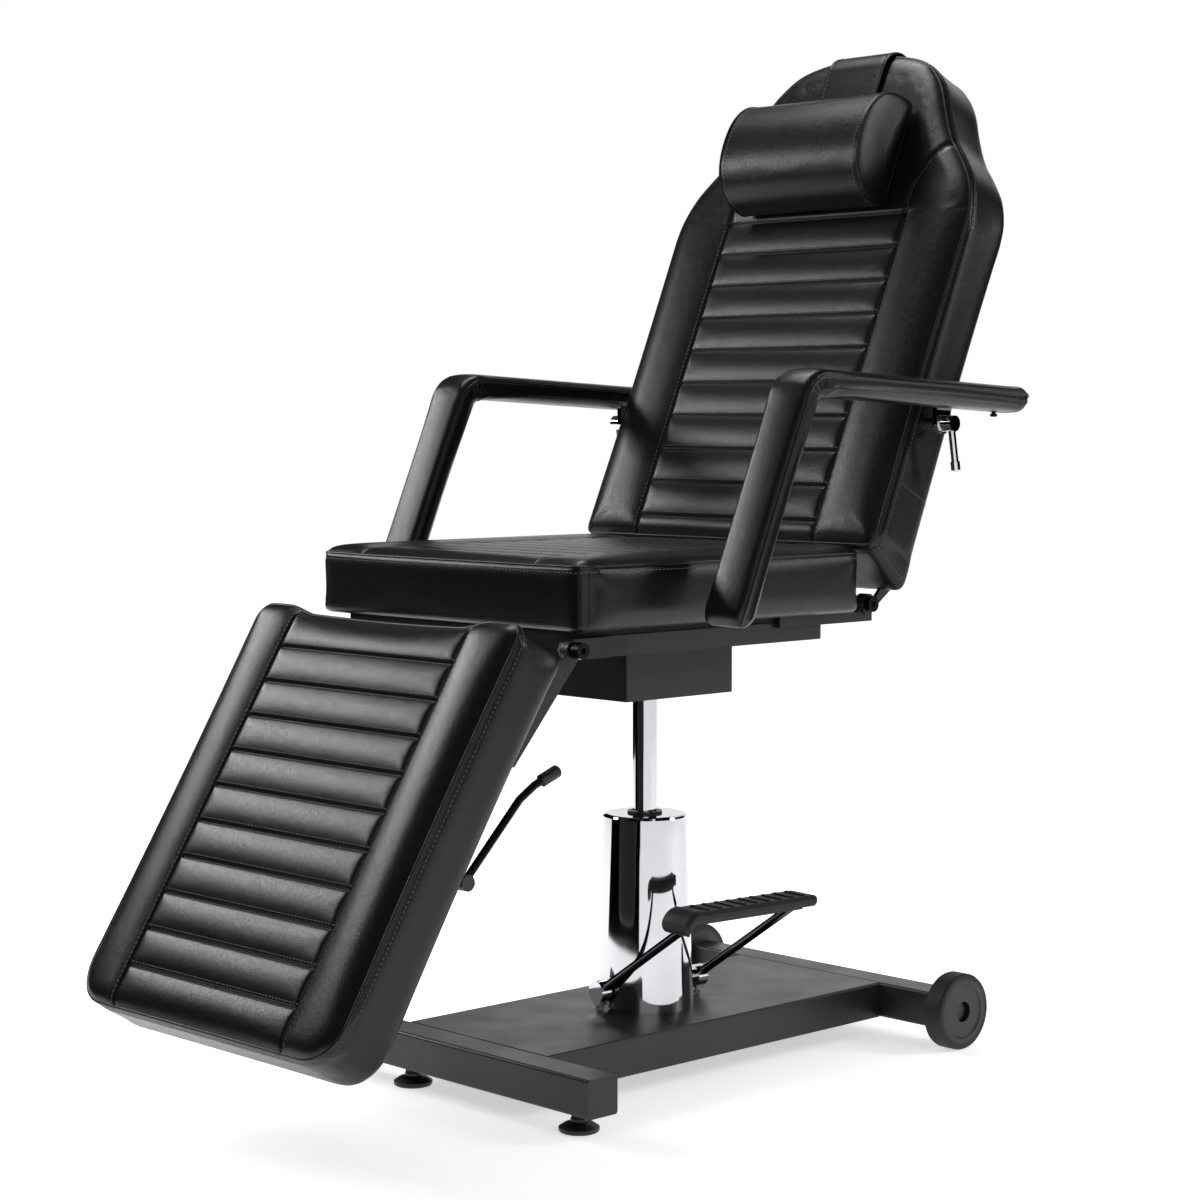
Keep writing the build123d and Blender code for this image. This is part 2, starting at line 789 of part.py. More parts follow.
with BuildPart() as swivel_hub:
    with BuildSketch(Plane.XY.offset(box_bottom + box_wall)):
        with Locations((0, pump_y)):
            Circle(hub_radius)
    extrude(amount=box_height - box_wall - hub_plate)
    with BuildSketch(Plane.XY.offset(box_top - hub_plate)):
        with Locations((0, box_middle)):
            Rectangle(
                box_width - 2 * box_wall - 2 * hub_plate_margin,
                box_length - 2 * box_wall - 2 * hub_plate_margin,
            )
    extrude(amount=hub_plate)
    with BuildSketch(Plane.XY.offset(box_bottom + box_wall)):
        with Locations((0, pump_y)):
            Circle(piston_radius + running_gap)
    extrude(amount=piston_into_hub - box_wall + side_gap, mode=Mode.SUBTRACT)
save(swivel_hub, "swivel_hub")

cross_bottom = rail_top - cross_height
for name, reach in (("front", -cross_front_reach), ("rear", cross_rear_reach)):
    with BuildPart() as cross_member:
        with BuildSketch(Plane.YZ):
            with Locations((pump_y + reach, cross_bottom + cross_height / 2)):
                Rectangle(cross_width, cross_height)
                Rectangle(
                    cross_width - 2 * cross_wall, cross_height - 2 * cross_wall, mode=Mode.SUBTRACT
                )
        extrude(amount=rail_half_spread - rail_width, both=True)
    save(cross_member, f"{name}_cross_member")

back_ear_rear_reach = back_hinge_reach + back_ear_radius
for name, side in sides.items():
    outside = Plane.YZ.offset(side * rail_half_spread)
    with BuildPart() as rail:
        with BuildSketch(outside):
            with Locations(
                (pump_y + (rail_rear_reach - rail_front_reach) / 2, rail_bottom + rail_height / 2)
            ):
                Rectangle(rail_front_reach + rail_rear_reach, rail_height)
        extrude(amount=-side * rail_width)
        with BuildSketch(Plane.XZ.offset(-pump_y - rail_rear_reach)):
            with Locations(
                (side * (rail_half_spread - rail_width / 2), rail_bottom + rail_height / 2)
            ):
                Rectangle(rail_width - 2 * rail_wall, rail_height - 2 * rail_wall)
        extrude(amount=rail_front_reach + rail_rear_reach, mode=Mode.SUBTRACT)
        with BuildSketch(outside):
            with Locations((pump_y - leg_hinge_reach, leg_hinge_height)):
                Circle(leg_ear_radius)
            with BuildLine():
                Polyline(
                    (pump_y - leg_hinge_reach, leg_hinge_height - leg_ear_radius),
                    (pump_y - leg_ear_rear_reach, rail_bottom),
                    (pump_y - leg_ear_rear_reach, rail_top),
                    (pump_y - leg_hinge_reach, leg_hinge_height + leg_ear_radius),
                    close=True,
                )
            make_face()
            with Locations((pump_y - leg_hinge_reach, leg_hinge_height)):
                Circle(hinge_pin_radius + running_gap, mode=Mode.SUBTRACT)
        extrude(amount=side * leg_ear_thickness)
        with BuildSketch(outside):
            with BuildLine():
                Polyline(
                    (pump_y + back_ear_front_reach, back_ear_bottom),
                    (pump_y + back_ear_rear_reach, back_ear_bottom),
                    (pump_y + back_ear_rear_reach, back_hinge_height),
                    (pump_y + back_hinge_reach - back_ear_radius, back_hinge_height),
                    (pump_y + back_hinge_reach - back_ear_radius, seat_bottom - soft_gap),
                    (pump_y + back_ear_front_reach, seat_bottom - soft_gap),
                    close=True,
                )
            make_face()
            with Locations((pump_y + back_hinge_reach, back_hinge_height)):
                Circle(back_ear_radius)
                Circle(hinge_pin_radius + running_gap, mode=Mode.SUBTRACT)
        extrude(amount=side * back_ear_thickness)
    save(rail, f"{name}_seat_rail")

with BuildPart() as seat_board:
    with BuildSketch(Plane.XY.offset(rail_top)):
        with Locations((0, pump_y + (seat_rear_reach - seat_front_reach) / 2)):
            RectangleRounded(
                2 * seat_board_half_width,
                seat_front_reach + seat_rear_reach - 2 * seat_board_margin,
                seat_corner,
            )
    extrude(amount=seat_bottom - rail_top)
save(seat_board, "seat_board")


# Cushions
def box_outline(half_width, low, high, low_radius, high_radius, inset, draw):
    """A rectangle with round corners whose sides pull in between the corners."""
    x = half_width - inset
    bottom = low + inset
    top = high - inset
    low_r = max(low_radius - inset, low_radius / 4)
    high_r = max(high_radius - inset, high_radius / 4)
    corner = 1 - sqrt(0.5)
    middle = (bottom + top) / 2
    with BuildLine() as outline:
        ThreePointArc((x, bottom + low_r), (x - draw, middle), (x, top - high_r))
        ThreePointArc(
            (x, top - high_r), (x - high_r * corner, top - high_r * corner), (x - high_r, top)
        )
        ThreePointArc((x - high_r, top), (0, top - draw), (high_r - x, top))
        ThreePointArc(
            (high_r - x, top), (high_r * corner - x, top - high_r * corner), (-x, top - high_r)
        )
        ThreePointArc((-x, top - high_r), (draw - x, middle), (-x, bottom + low_r))
        ThreePointArc(
            (-x, bottom + low_r), (low_r * corner - x, bottom + low_r * corner), (low_r - x, bottom)
        )
        ThreePointArc((low_r - x, bottom), (0, bottom + draw), (x - low_r, bottom))
        ThreePointArc(
            (x - low_r, bottom), (x - low_r * corner, bottom + low_r * corner), (x, bottom + low_r)
        )
    return outline


# The backrest's right half above its straight sides, as shares of its half width and length
back_neck_shares = (
    ((1.0, 0.632), (0.984, 0.672), (0.933, 0.7186)),
    ((0.933, 0.7186), (0.846, 0.762), (0.75, 0.805)),
    ((0.75, 0.805), (0.665, 0.861), (0.60, 0.908)),
    ((0.60, 0.908), (0.525, 0.9455), (0.42, 0.977)),
    ((0.42, 0.977), (0.235, 0.9953), (0.0, 1.0)),
)


def head_outline(half_width, low, high, inset):
    """The backrest's outline with shoulders, a drawn-in neck and a round head."""
    x = half_width - inset
    bottom = low + inset
    length = high - inset
    shoulder = back_neck_shares[0][0][1] * length
    side_arc = ((x, bottom), (x - side_draw / 2, (bottom + shoulder) / 2), (x, shoulder))
    with BuildLine() as outline:
        for side in (1, -1):
            arcs = [side_arc]
            arcs += [[(a * x, b * length) for a, b in arc] for arc in back_neck_shares]
            arcs = [[(side * a, b) for a, b in arc] for arc in arcs]
            if side < 0:
                arcs = [arc[::-1] for arc in arcs[::-1]]
            for arc in arcs:
                ThreePointArc(*arc)
        Line((-x, bottom), (x, bottom))
    return outline


def cushion_levels(thickness):
    """Heights and insets of the outlines that a cushion's sides run through."""
    levels = []
    for height, inset in edge_levels[:2]:
        levels.append((height - thickness, inset))
    levels.append((-thickness * edge_levels[2][0], edge_levels[2][1]))
    for height, inset in edge_levels[3:]:
        levels.append((height, inset))
    return levels


def roll_relief(plane, half_width, edges, bottom):
    """Rolls side by side across the cushion, sewn down at each edge in the list."""
    with BuildPart() as rolls:
        with BuildSketch(side_profile(plane)):
            with BuildLine():
                for low, high in zip(edges, edges[1:]):
                    ThreePointArc(
                        (low, crown - seam_depth),
                        ((low + high) / 2, crown),
                        (high, crown - seam_depth),
                    )
                Polyline(
                    (edges[-1], crown - seam_depth),
                    (edges[-1], bottom),
                    (edges[0], bottom),
                    (edges[0], crown - seam_depth),
                )
            make_face()
        extrude(amount=half_width, both=True)
    return rolls


def bolster_relief(plane, half_width, low, high, bottom):
    """The two plain bolsters beside the rolls, each a long crowned strip."""
    end = Plane(origin=plane.origin + plane.y_dir * low, x_dir=plane.x_dir, z_dir=-plane.y_dir)
    with BuildPart() as bolsters:
        for side in (1, -1):
            with BuildSketch(end):
                with BuildLine():
                    ThreePointArc(
                        (side * seam_half_spread, crown - seam_depth),
                        (side * (seam_half_spread + half_width) / 2, crown),
                        (side * half_width, crown - seam_depth),
                    )
                    Polyline(
                        (side * half_width, crown - seam_depth),
                        (side * half_width, bottom),
                        (side * seam_half_spread, bottom),
                        (side * seam_half_spread, crown - seam_depth),
                    )
                make_face()
            extrude(amount=low - high)
    return bolsters


seat_edges = [-seat_front_reach]
seat_edges.append(seat_front_band - seat_front_reach)
seat_roll_count = round((seat_rear_reach - seat_edges[-1]) / leg_roll_pitch)
seat_roll_pitch = (seat_rear_reach - seat_edges[-1]) / seat_roll_count
for index in range(seat_roll_count):
    seat_edges.append(seat_edges[1] + seat_roll_pitch * (index + 1))
seat_edges = [pump_y + edge for edge in seat_edges]

with BuildPart() as seat_cushion:
    for height, inset in cushion_levels(seat_thickness):
        with BuildSketch(seat_plane.offset(height)):
            add(
                box_outline(
                    seat_width / 2,
                    pump_y - seat_front_reach,
                    pump_y + seat_rear_reach,
                    seat_corner,
                    seat_corner,
                    inset,
                    side_draw,
                ).line
            )
            make_face()
    loft(ruled=True)
    with BuildPart(mode=Mode.PRIVATE) as seat_relief:
        add(roll_relief(seat_plane, seam_half_spread, seat_edges, -seat_thickness).part)
        add(
            bolster_relief(
                seat_plane, seat_width / 2, seat_edges[0], seat_edges[-1], -seat_thickness
            ).part
        )
    add(seat_relief.part, mode=Mode.INTERSECT)
save(seat_cushion, "seat_cushion")

# Backrest
back_low = -back_foot_overhang
back_heel_low = back_low - back_bevel * back_thickness / back_bevel_depth
back_lowest = back_heel_low - back_thickness / 2
back_edges = [back_lowest]
back_roll_pitch = (back_last_seam - back_first_seam) / back_roll_count
for index in range(back_roll_count + 1):
    back_edges.append(back_first_seam + back_roll_pitch * index)

with BuildPart() as backrest_board:
    with BuildSketch(back_plane.offset(-back_thickness)):
        add(head_outline(back_width / 2, back_low, back_length, back_board_margin).line)
        make_face()
    extrude(amount=back_board)
save(backrest_board, "backrest_board")

with BuildPart() as backrest_cushion:
    for height, inset in cushion_levels(back_thickness):
        with BuildSketch(back_plane.offset(height)):
            add(head_outline(back_width / 2, back_lowest, back_length, inset).line)
            make_face()
    loft(ruled=True)
    with BuildPart(mode=Mode.PRIVATE) as back_relief:
        add(roll_relief(back_plane, seam_half_spread, back_edges, -back_thickness).part)
        add(
            bolster_relief(
                back_plane, back_width / 2, back_edges[0], back_length, -back_thickness
            ).part
        )
        head_end = Plane(
            origin=back_plane.origin + back_plane.y_dir * back_last_seam,
            x_dir=back_plane.x_dir,
            z_dir=-back_plane.y_dir,
        )
        with BuildSketch(head_end):
            with BuildLine():
                ThreePointArc(
                    (-seam_half_spread, crown - seam_depth),
                    (0, crown),
                    (seam_half_spread, crown - seam_depth),
                )
                Polyline(
                    (seam_half_spread, crown - seam_depth),
                    (seam_half_spread, -back_thickness),
                    (-seam_half_spread, -back_thickness),
                    (-seam_half_spread, crown - seam_depth),
                )
            make_face()
        extrude(amount=back_last_seam - back_length)
    add(back_relief.part, mode=Mode.INTERSECT)
    with BuildPart(mode=Mode.PRIVATE) as back_side:
        with BuildSketch(side_profile(back_plane)):
            with BuildLine():
                FilletPolyline(
                    (back_length, -back_thickness),
                    (back_heel_low, -back_thickness),
                    (back_low, 0),
                    radius=back_heel,
                )
                Polyline(
                    (back_low, 0), (back_low, crown), (back_length, crown), (back_length, -back_thickness)
                )
            make_face()
        extrude(amount=back_width / 2, both=True)
    add(back_side.part, mode=Mode.INTERSECT)
    add(backrest_board.part, mode=Mode.SUBTRACT)
    for side in sides.values():
        with BuildSketch(Plane.YZ.offset(side * back_width / 2)):
            with Locations(clamp_hole):
                Circle(stud_flange_radius)
        extrude(amount=-side * stud_flange, mode=Mode.SUBTRACT)
save(backrest_cushion, "backrest_cushion")

back_eye = in_side_view(back_plane, back_hinge_reach, back_hinge_height)
back_arm_inner = rail_half_spread + back_ear_thickness + side_gap
for name, side in sides.items():
    with BuildPart() as back_arm:
        with BuildSketch(side_profile(back_plane, side * back_arm_inner)):
            with Locations(back_eye):
                Circle(back_ear_radius)
            with BuildLine():
                Polyline(
                    (back_eye[0], back_eye[1] - back_ear_radius / 3),
                    (-back_heel, -back_thickness - back_arm_flange_thickness),
                    (-back_heel, -back_thickness - back_arm_depth),
                    (back_eye[0], back_eye[1] - back_ear_radius),
                    close=True,
                )
            make_face()
            with BuildLine():
                Polyline(
                    (-back_heel, -back_thickness),
                    (back_arm_length - back_arm_depth, -back_thickness),
                    (back_arm_length, -back_thickness),
                    (back_arm_length - back_arm_depth, -back_thickness - back_arm_depth),
                    (-back_heel, -back_thickness - back_arm_depth),
                    close=True,
                )
            make_face()
            with Locations(back_eye):
                Circle(hinge_pin_radius + running_gap, mode=Mode.SUBTRACT)
        extrude(amount=side * back_arm_thickness)
        with BuildSketch(back_plane.offset(-back_thickness)):
            with Locations(
                (side * (back_arm_inner + back_arm_thickness - back_arm_flange / 2), back_arm_length / 2)
            ):
                Rectangle(back_arm_flange, back_arm_length)
        extrude(amount=-back_arm_flange_thickness)
    save(back_arm, f"{name}_backrest_arm")


def hinge_pins(reach, height, arm_outer, head):
    """A pair of hinge pins, with a round head outside and a hexagonal nut inside."""
    with BuildPart() as pins:
        for side in sides.values():
            inside = rail_half_spread - hinge_nut - running_gap
            outside = arm_outer + running_gap
            with BuildSketch(Plane.YZ.offset(side * inside)):
                with Locations((pump_y + reach, height)):
                    Circle(hinge_pin_radius)
            extrude(amount=side * (outside - inside))
            with BuildSketch(Plane.YZ.offset(side * inside)):
                with Locations((pump_y + reach, height)):
                    RegularPolygon(hinge_pin_head_radius, 6)
            extrude(amount=side * hinge_nut)
            with BuildSketch(Plane.YZ.offset(side * outside)):
                with Locations((pump_y + reach, height)):
                    Circle(hinge_pin_head_radius)
            extrude(amount=side * head)
            with BuildSketch(Plane.YZ.offset(side * (outside + head))):
                with Locations((pump_y + reach, height)):
                    RegularPolygon(hinge_key_radius, 6)
            extrude(amount=-side * hinge_key_depth, mode=Mode.SUBTRACT)
    return pins


save(
    hinge_pins(
        back_hinge_reach, back_hinge_height, back_arm_inner + back_arm_thickness, hinge_pin_head
    ),
    "backrest_hinge_pins",
)

for name, side in sides.items():
    with BuildPart() as arm_stud:
        with BuildSketch(Plane.YZ.offset(side * (back_width / 2 - stud_flange))):
            with Locations(clamp_hole):
                Circle(stud_flange_radius)
        extrude(amount=side * stud_flange)
        with BuildSketch(Plane.YZ.offset(side * back_width / 2)):
            with Locations(clamp_hole):
                Circle(stud_radius)
        extrude(amount=side * (arm_gap + arm_ear_inset + arm_ear_thickness))
    save(arm_stud, f"{name}_armrest_stud")

# Leg rest
leg_edges = [-leg_length]
leg_edges += [-leg_first_seam - leg_roll_pitch * index for index in range(leg_roll_count, -1, -1)]
leg_edges.append(0)
with BuildPart() as leg_rest_board:
    with BuildSketch(leg_plane.offset(-leg_thickness)):
        add(
            box_outline(
                leg_width / 2,
                -leg_length,
                0,
                leg_foot_corner,
                leg_head_corner,
                leg_board_margin,
                leg_board_draw,
            ).line
        )
        make_face()
    extrude(amount=leg_board)
save(leg_rest_board, "leg_rest_board")

with BuildPart() as leg_rest_cushion:
    for height, inset in cushion_levels(leg_thickness):
        with BuildSketch(leg_plane.offset(height)):
            add(
                box_outline(
                    leg_width / 2,
                    -leg_length,
                    0,
                    leg_foot_corner,
                    leg_head_corner,
                    inset,
                    side_draw,
                ).line
            )
            make_face()
    loft(ruled=True)
    with BuildPart(mode=Mode.PRIVATE) as leg_relief:
        add(roll_relief(leg_plane, seam_half_spread, leg_edges, -leg_thickness).part)
        add(bolster_relief(leg_plane, leg_width / 2, -leg_length, 0, -leg_thickness).part)
    add(leg_relief.part, mode=Mode.INTERSECT)
    add(leg_rest_board.part, mode=Mode.SUBTRACT)
save(leg_rest_cushion, "leg_rest_cushion")

leg_eye = in_side_view(leg_plane, -leg_hinge_reach, leg_hinge_height)
leg_arm_inner = rail_half_spread + leg_ear_thickness + side_gap
for name, side in sides.items():
    with BuildPart() as leg_arm:
        with BuildSketch(side_profile(leg_plane, side * leg_arm_inner)):
            with Locations(leg_eye):
                Circle(leg_ear_radius)
            with BuildLine():
                Polyline(
                    leg_eye,
                    (-2 * leg_ear_radius, -leg_thickness),
                    (-leg_arm_length, -leg_thickness),
                    (-leg_arm_length, -leg_thickness - leg_ear_radius),
                    (leg_eye[0], leg_eye[1] - leg_ear_radius),
                    close=True,
                )
            make_face()
            with Locations(leg_eye):
                Circle(hinge_pin_radius + running_gap, mode=Mode.SUBTRACT)
        extrude(amount=side * leg_arm_thickness)
        with BuildSketch(leg_plane.offset(-leg_thickness)):
            with Locations(
                (
                    side * (leg_arm_inner + leg_arm_thickness - leg_arm_flange / 2),
                    -leg_ear_radius - leg_arm_length / 2,
                )
            ):
                Rectangle(leg_arm_flange, leg_arm_length - 2 * leg_ear_radius)
        extrude(amount=-leg_arm_flange_thickness)
    save(leg_arm, f"{name}_leg_rest_arm")

save(
    hinge_pins(
        -leg_hinge_reach, leg_hinge_height, leg_arm_inner + leg_arm_thickness, leg_hinge_pin_head
    ),
    "leg_rest_hinge_pins",
)

# Release lever behind the leg rest
lever_side = side_profile(leg_plane, lever_x)
lever_pivot = (-lever_pivot_down, -leg_thickness - lever_pivot_behind)
with BuildPart() as lever_bracket:
    with BuildSketch(leg_plane.offset(-leg_thickness)):
        with Locations((lever_x, -lever_pivot_down)):
            Rectangle(lever_bracket_width, lever_bracket_length)
    extrude(amount=-lever_bracket_thickness)
    with BuildSketch(lever_side.offset(-lever_hub_width / 2 - side_gap)):
        with Locations(lever_pivot):
            Circle(lever_hub_radius)
        with Locations((lever_pivot[0], (lever_pivot[1] - leg_thickness) / 2)):
            Rectangle(2 * lever_hub_radius, lever_pivot_behind)
    extrude(amount=-lever_bracket_thickness)
    with BuildSketch(lever_side.offset(-lever_hub_width / 2 - side_gap)):
        with Locations(lever_pivot):
            Circle(lever_pin_radius)
    extrude(amount=lever_hub_width + 2 * side_gap)
    with BuildSketch(lever_side.offset(lever_hub_width / 2 + side_gap)):
        with Locations(lever_pivot):
            Circle(lever_hub_radius)
    extrude(amount=lever_bracket_thickness / 2)
save(lever_bracket, "lever_bracket")

with BuildPart() as release_lever:
    with BuildSketch(lever_side):
        with Locations(lever_pivot):
            Circle(lever_hub_radius)
    extrude(amount=lever_hub_width / 2, both=True)
    with BuildLine(lever_side):
        lever_path = FilletPolyline(
            lever_pivot,
            (-lever_bend_down, -leg_thickness - lever_bend_behind),
            (-lever_knee_down, -leg_thickness - lever_knee_behind),
            (-lever_tip_down, -leg_thickness - lever_tip_behind),
            radius=lever_bend_radius,
        )
    with BuildSketch(Plane(origin=lever_path @ 0, z_dir=lever_path % 0)):
        Circle(lever_radius)
    sweep(path=lever_path)
    with BuildSketch(lever_side):
        with Locations(lever_pivot):
            Circle(lever_pin_radius + running_gap)
    extrude(amount=lever_hub_width, both=True, mode=Mode.SUBTRACT)
save(release_lever, "release_lever")

with BuildPart() as lever_grip:
    knee = Vector(-lever_knee_down, -leg_thickness - lever_knee_behind)
    tip = Vector(-lever_tip_down, -leg_thickness - lever_tip_behind)
    grip_start = lever_side.from_local_coords(knee + (tip - knee) * lever_grip_share)
    grip_end = lever_side.from_local_coords(tip)
    along = (grip_end - grip_start).normalized()
    with BuildSketch(Plane(origin=grip_start, z_dir=along)):
        Circle(lever_grip_radius)
    extrude(amount=(grip_end - grip_start).length + lever_grip_end)
    chamfer(lever_grip.edges(), lever_radius / 2)
    with BuildSketch(Plane(origin=grip_start, z_dir=along)):
        Circle(lever_radius)
    extrude(amount=(grip_end - grip_start).length, mode=Mode.SUBTRACT)
save(lever_grip, "lever_grip")

# Armrests
arm_foot = Vector(*clamp_hole) - Vector(arm_foot_ahead, arm_foot_below)
arm_corner = Vector(*clamp_hole) + Vector(-arm_elbow_ahead, arm_elbow_above)
arm_end = Vector(*clamp_hole) + Vector(arm_end_behind, arm_end_above)
arm_post = (arm_corner - arm_foot).normalized()
arm_pad = (arm_end - arm_corner).normalized()
arm_middle = arm_inner_half_spread + arm_width / 2


# Levels across an armrest, and how far its outline draws in there, as shares
arm_level_shares = (
    (0, 1),
    (0.06, 0.35),
    (0.22, 0),
    (0.5, 0.06),
    (0.78, 0),
    (0.94, 0.35),
    (1, 1),
)


def arm_line(thickness, bend, margin, inset=0):
    """The side view of a bent bar with round ends that follows the armrest's middle line."""
    half = thickness / 2 - inset
    start = arm_foot + arm_post * margin
    end = arm_end - arm_pad * margin
    post_normal = Vector(-arm_post.Y, arm_post.X)
    pad_normal = Vector(-arm_pad.Y, arm_pad.X)
    corner_shift = (post_normal + pad_normal) * (half / (1 + post_normal.dot(pad_normal)))
    with BuildSketch() as shape:
        with BuildLine():
            FilletPolyline(
                start + post_normal * half,
                arm_corner + corner_shift,
                end + pad_normal * half,
                radius=bend + half,
            )
            ThreePointArc(end + pad_normal * half, end + arm_pad * half, end - pad_normal * half)
            FilletPolyline(
                end - pad_normal * half,
                arm_corner - corner_shift,
                start - post_normal * half,
                radius=bend - half,
            )
            ThreePointArc(
                start - post_normal * half, start - arm_post * half, start + post_normal * half
            )
        make_face()
    return shape


pad_under_stud = arm_end - arm_pad * arm_end_behind
ear_top = pad_under_stud.Y - arm_core_thickness / 2 + arm_tab_overlap
ear_inner = arm_inner_half_spread + arm_ear_inset
core_inner = arm_middle - arm_core_width / 2
screw_middle = arm_end - arm_pad * arm_screw_inset
screw_foot = screw_middle + Vector(arm_pad.Y, -arm_pad.X) * (arm_thickness / 2)
screw_plane = Plane(
    origin=(0, screw_foot.X, screw_foot.Y),
    x_dir=(1, 0, 0),
    z_dir=(0, -arm_pad.Y, arm_pad.X),
)
handle_hang = Vector(0, sin(radians(handle_lean)), -cos(radians(handle_lean)))
for name, side in sides.items():
    inner_side = Plane.YZ.offset(side * arm_inner_half_spread)
    with BuildPart() as armrest_frame:
        with BuildSketch(Plane.YZ.offset(side * core_inner)):
            add(arm_line(arm_core_thickness, arm_core_bend, arm_core_margin).sketch)
        extrude(amount=side * arm_core_width)
        with BuildSketch(screw_plane):
            with Locations((side * arm_middle, 0)):
                Circle(arm_screw_radius)
        extrude(amount=arm_screw_length, mode=Mode.SUBTRACT)
    save(armrest_frame, f"{name}_armrest_frame")

    with BuildPart() as armrest_clamp:
        with BuildSketch(Plane.YZ.offset(side * ear_inner)):
            with Locations(clamp_hole):
                Circle(arm_ear_radius)
            with BuildLine():
                Polyline(
                    (clamp_hole[0] - arm_ear_radius, clamp_hole[1]),
                    (clamp_hole[0] + arm_ear_radius, clamp_hole[1]),
                    (clamp_hole[0] + arm_ear_width / 2, ear_top),
                    (clamp_hole[0] - arm_ear_width / 2, ear_top),
                    close=True,
                )
            make_face()
        extrude(amount=side * arm_ear_thickness)
        with BuildSketch(Plane.YZ.offset(side * (ear_inner + arm_ear_thickness))):
            with Locations(clamp_hole):
                Circle(arm_ear_radius - clamp_boss / 2)
        extrude(amount=side * clamp_boss)
        with BuildSketch(Plane.YZ.offset(side * (ear_inner + arm_ear_thickness + clamp_boss))):
            with Locations(clamp_hole):
                Circle(clamp_spindle_radius)
        extrude(amount=side * clamp_spindle)
        with BuildSketch(Plane.YZ.offset(side * (ear_inner + arm_ear_thickness))):
            with Locations((clamp_hole[0], ear_top - arm_tab / 2)):
                Rectangle(arm_ear_width, arm_tab)
        extrude(amount=side * (core_inner + arm_core_width - ear_inner - arm_ear_thickness))
        with BuildSketch(Plane.YZ.offset(side * ear_inner)):
            with Locations(clamp_hole):
                Circle(stud_radius + running_gap)
        extrude(amount=side * (arm_ear_thickness + side_gap), mode=Mode.SUBTRACT)
        add(armrest_frame.part, mode=Mode.SUBTRACT)
    save(armrest_clamp, f"{name}_armrest_clamp")

    with BuildPart() as armrest_screw:
        with BuildSketch(screw_plane):
            with Locations((side * arm_middle, 0)):
                Circle(arm_screw_radius)
        extrude(amount=arm_screw_length)
        with BuildSketch(screw_plane):
            with Locations((side * arm_middle, 0)):
                Circle(arm_screw_head_radius)
        extrude(amount=-arm_screw_head)
        chamfer(armrest_screw.edges().group_by(Axis.Z)[0], arm_screw_head / 3)
    save(armrest_screw, f"{name}_armrest_screw")

    with BuildPart() as armrest_cushion:
        for share, inset in arm_level_shares:
            with BuildSketch(inner_side.offset(side * share * arm_width)):
                add(arm_line(arm_thickness, arm_bend, 0, inset * arm_edge).sketch)
        loft(ruled=True)
        add(armrest_frame.part, mode=Mode.SUBTRACT)
        add(armrest_clamp.part, mode=Mode.SUBTRACT)
        add(armrest_screw.part, mode=Mode.SUBTRACT)
    save(armrest_cushion, f"{name}_armrest_cushion")

    handle_inner = ear_inner + arm_ear_thickness + clamp_boss + side_gap
    with BuildPart() as clamp_handle:
        with BuildSketch(Plane.YZ.offset(side * handle_inner)):
            with Locations(clamp_hole):
                Circle(handle_hub_radius)
        extrude(amount=side * handle_hub_width)
        handle_start = Vector(side * (handle_inner + handle_hub_width / 2), *clamp_hole)
        with BuildSketch(Plane(origin=handle_start, x_dir=(1, 0, 0), z_dir=handle_hang)):
            Circle(handle_radius)
        extrude(amount=handle_length)
        tip_start = handle_start + handle_hang * (handle_length - handle_tip)
        with BuildSketch(Plane(origin=tip_start, x_dir=(1, 0, 0), z_dir=handle_hang)):
            Circle(handle_tip_radius)
        extrude(amount=handle_tip)
        chamfer(clamp_handle.faces().sort_by(Axis.Z)[0].edges(), handle_tip_radius / 3)
        with BuildSketch(Plane.YZ.offset(side * handle_inner)):
            with Locations(clamp_hole):
                Circle(clamp_spindle_radius + running_gap)
        extrude(amount=side * clamp_spindle, mode=Mode.SUBTRACT)
    save(clamp_handle, f"{name}_clamp_handle")

# Head pillow, held by a strap over the head of the backrest
strap_proud = crown + soft_gap
pillow_back = strap_proud + strap_thickness
pillow_top = pillow_bottom + pillow_height

# Places along the pillow, and how far its outline draws in there, as shares
pillow_level_shares = ((-1, 1), (-0.96, 0.4), (-0.88, 0), (0, 0.2), (0.88, 0), (0.96, 0.4), (1, 1))
with BuildPart() as head_pillow:
    for across, inset in pillow_level_shares:
        low = pillow_bottom + inset * pillow_end
        high = pillow_top - inset * pillow_end
        with BuildSketch(side_profile(back_plane, across * pillow_length / 2)):
            with BuildLine():
                Polyline(
                    (low, pillow_back + pillow_side),
                    (low, pillow_back + pillow_corner),
                    (low + pillow_corner, pillow_back),
                    (high - pillow_corner, pillow_back),
                    (high, pillow_back + pillow_corner),
                    (high, pillow_back + pillow_side),
                )
                ThreePointArc(
                    (high, pillow_back + pillow_side),
                    ((low + high) / 2, pillow_back + pillow_depth - inset * pillow_end),
                    (low, pillow_back + pillow_side),
                )
            make_face()
    loft(ruled=True)
save(head_pillow, "head_pillow")

strap_top = back_length + strap_over
strap_rear = -back_thickness - soft_gap
with BuildPart() as pillow_strap:
    with BuildSketch(side_profile(back_plane)):
        with BuildLine():
            FilletPolyline(
                (strap_start, strap_proud),
                (strap_top, strap_proud),
                (strap_top, strap_rear),
                (strap_tail, strap_rear),
                radius=strap_bend,
            )
            Line((strap_tail, strap_rear), (strap_tail, strap_rear - strap_thickness))
            FilletPolyline(
                (strap_tail, strap_rear - strap_thickness),
                (strap_top + strap_thickness, strap_rear - strap_thickness),
                (strap_top + strap_thickness, pillow_back),
                (strap_start, pillow_back),
                radius=strap_bend + strap_thickness,
            )
            Line((strap_start, pillow_back), (strap_start, strap_proud))
        make_face()
    extrude(amount=strap_width / 2, both=True)
save(pillow_strap, "pillow_strap")
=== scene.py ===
import json
import math

import bmesh
import bpy
import numpy as np
from mathutils import Matrix, Vector
from mathutils.bvhtree import BVHTree

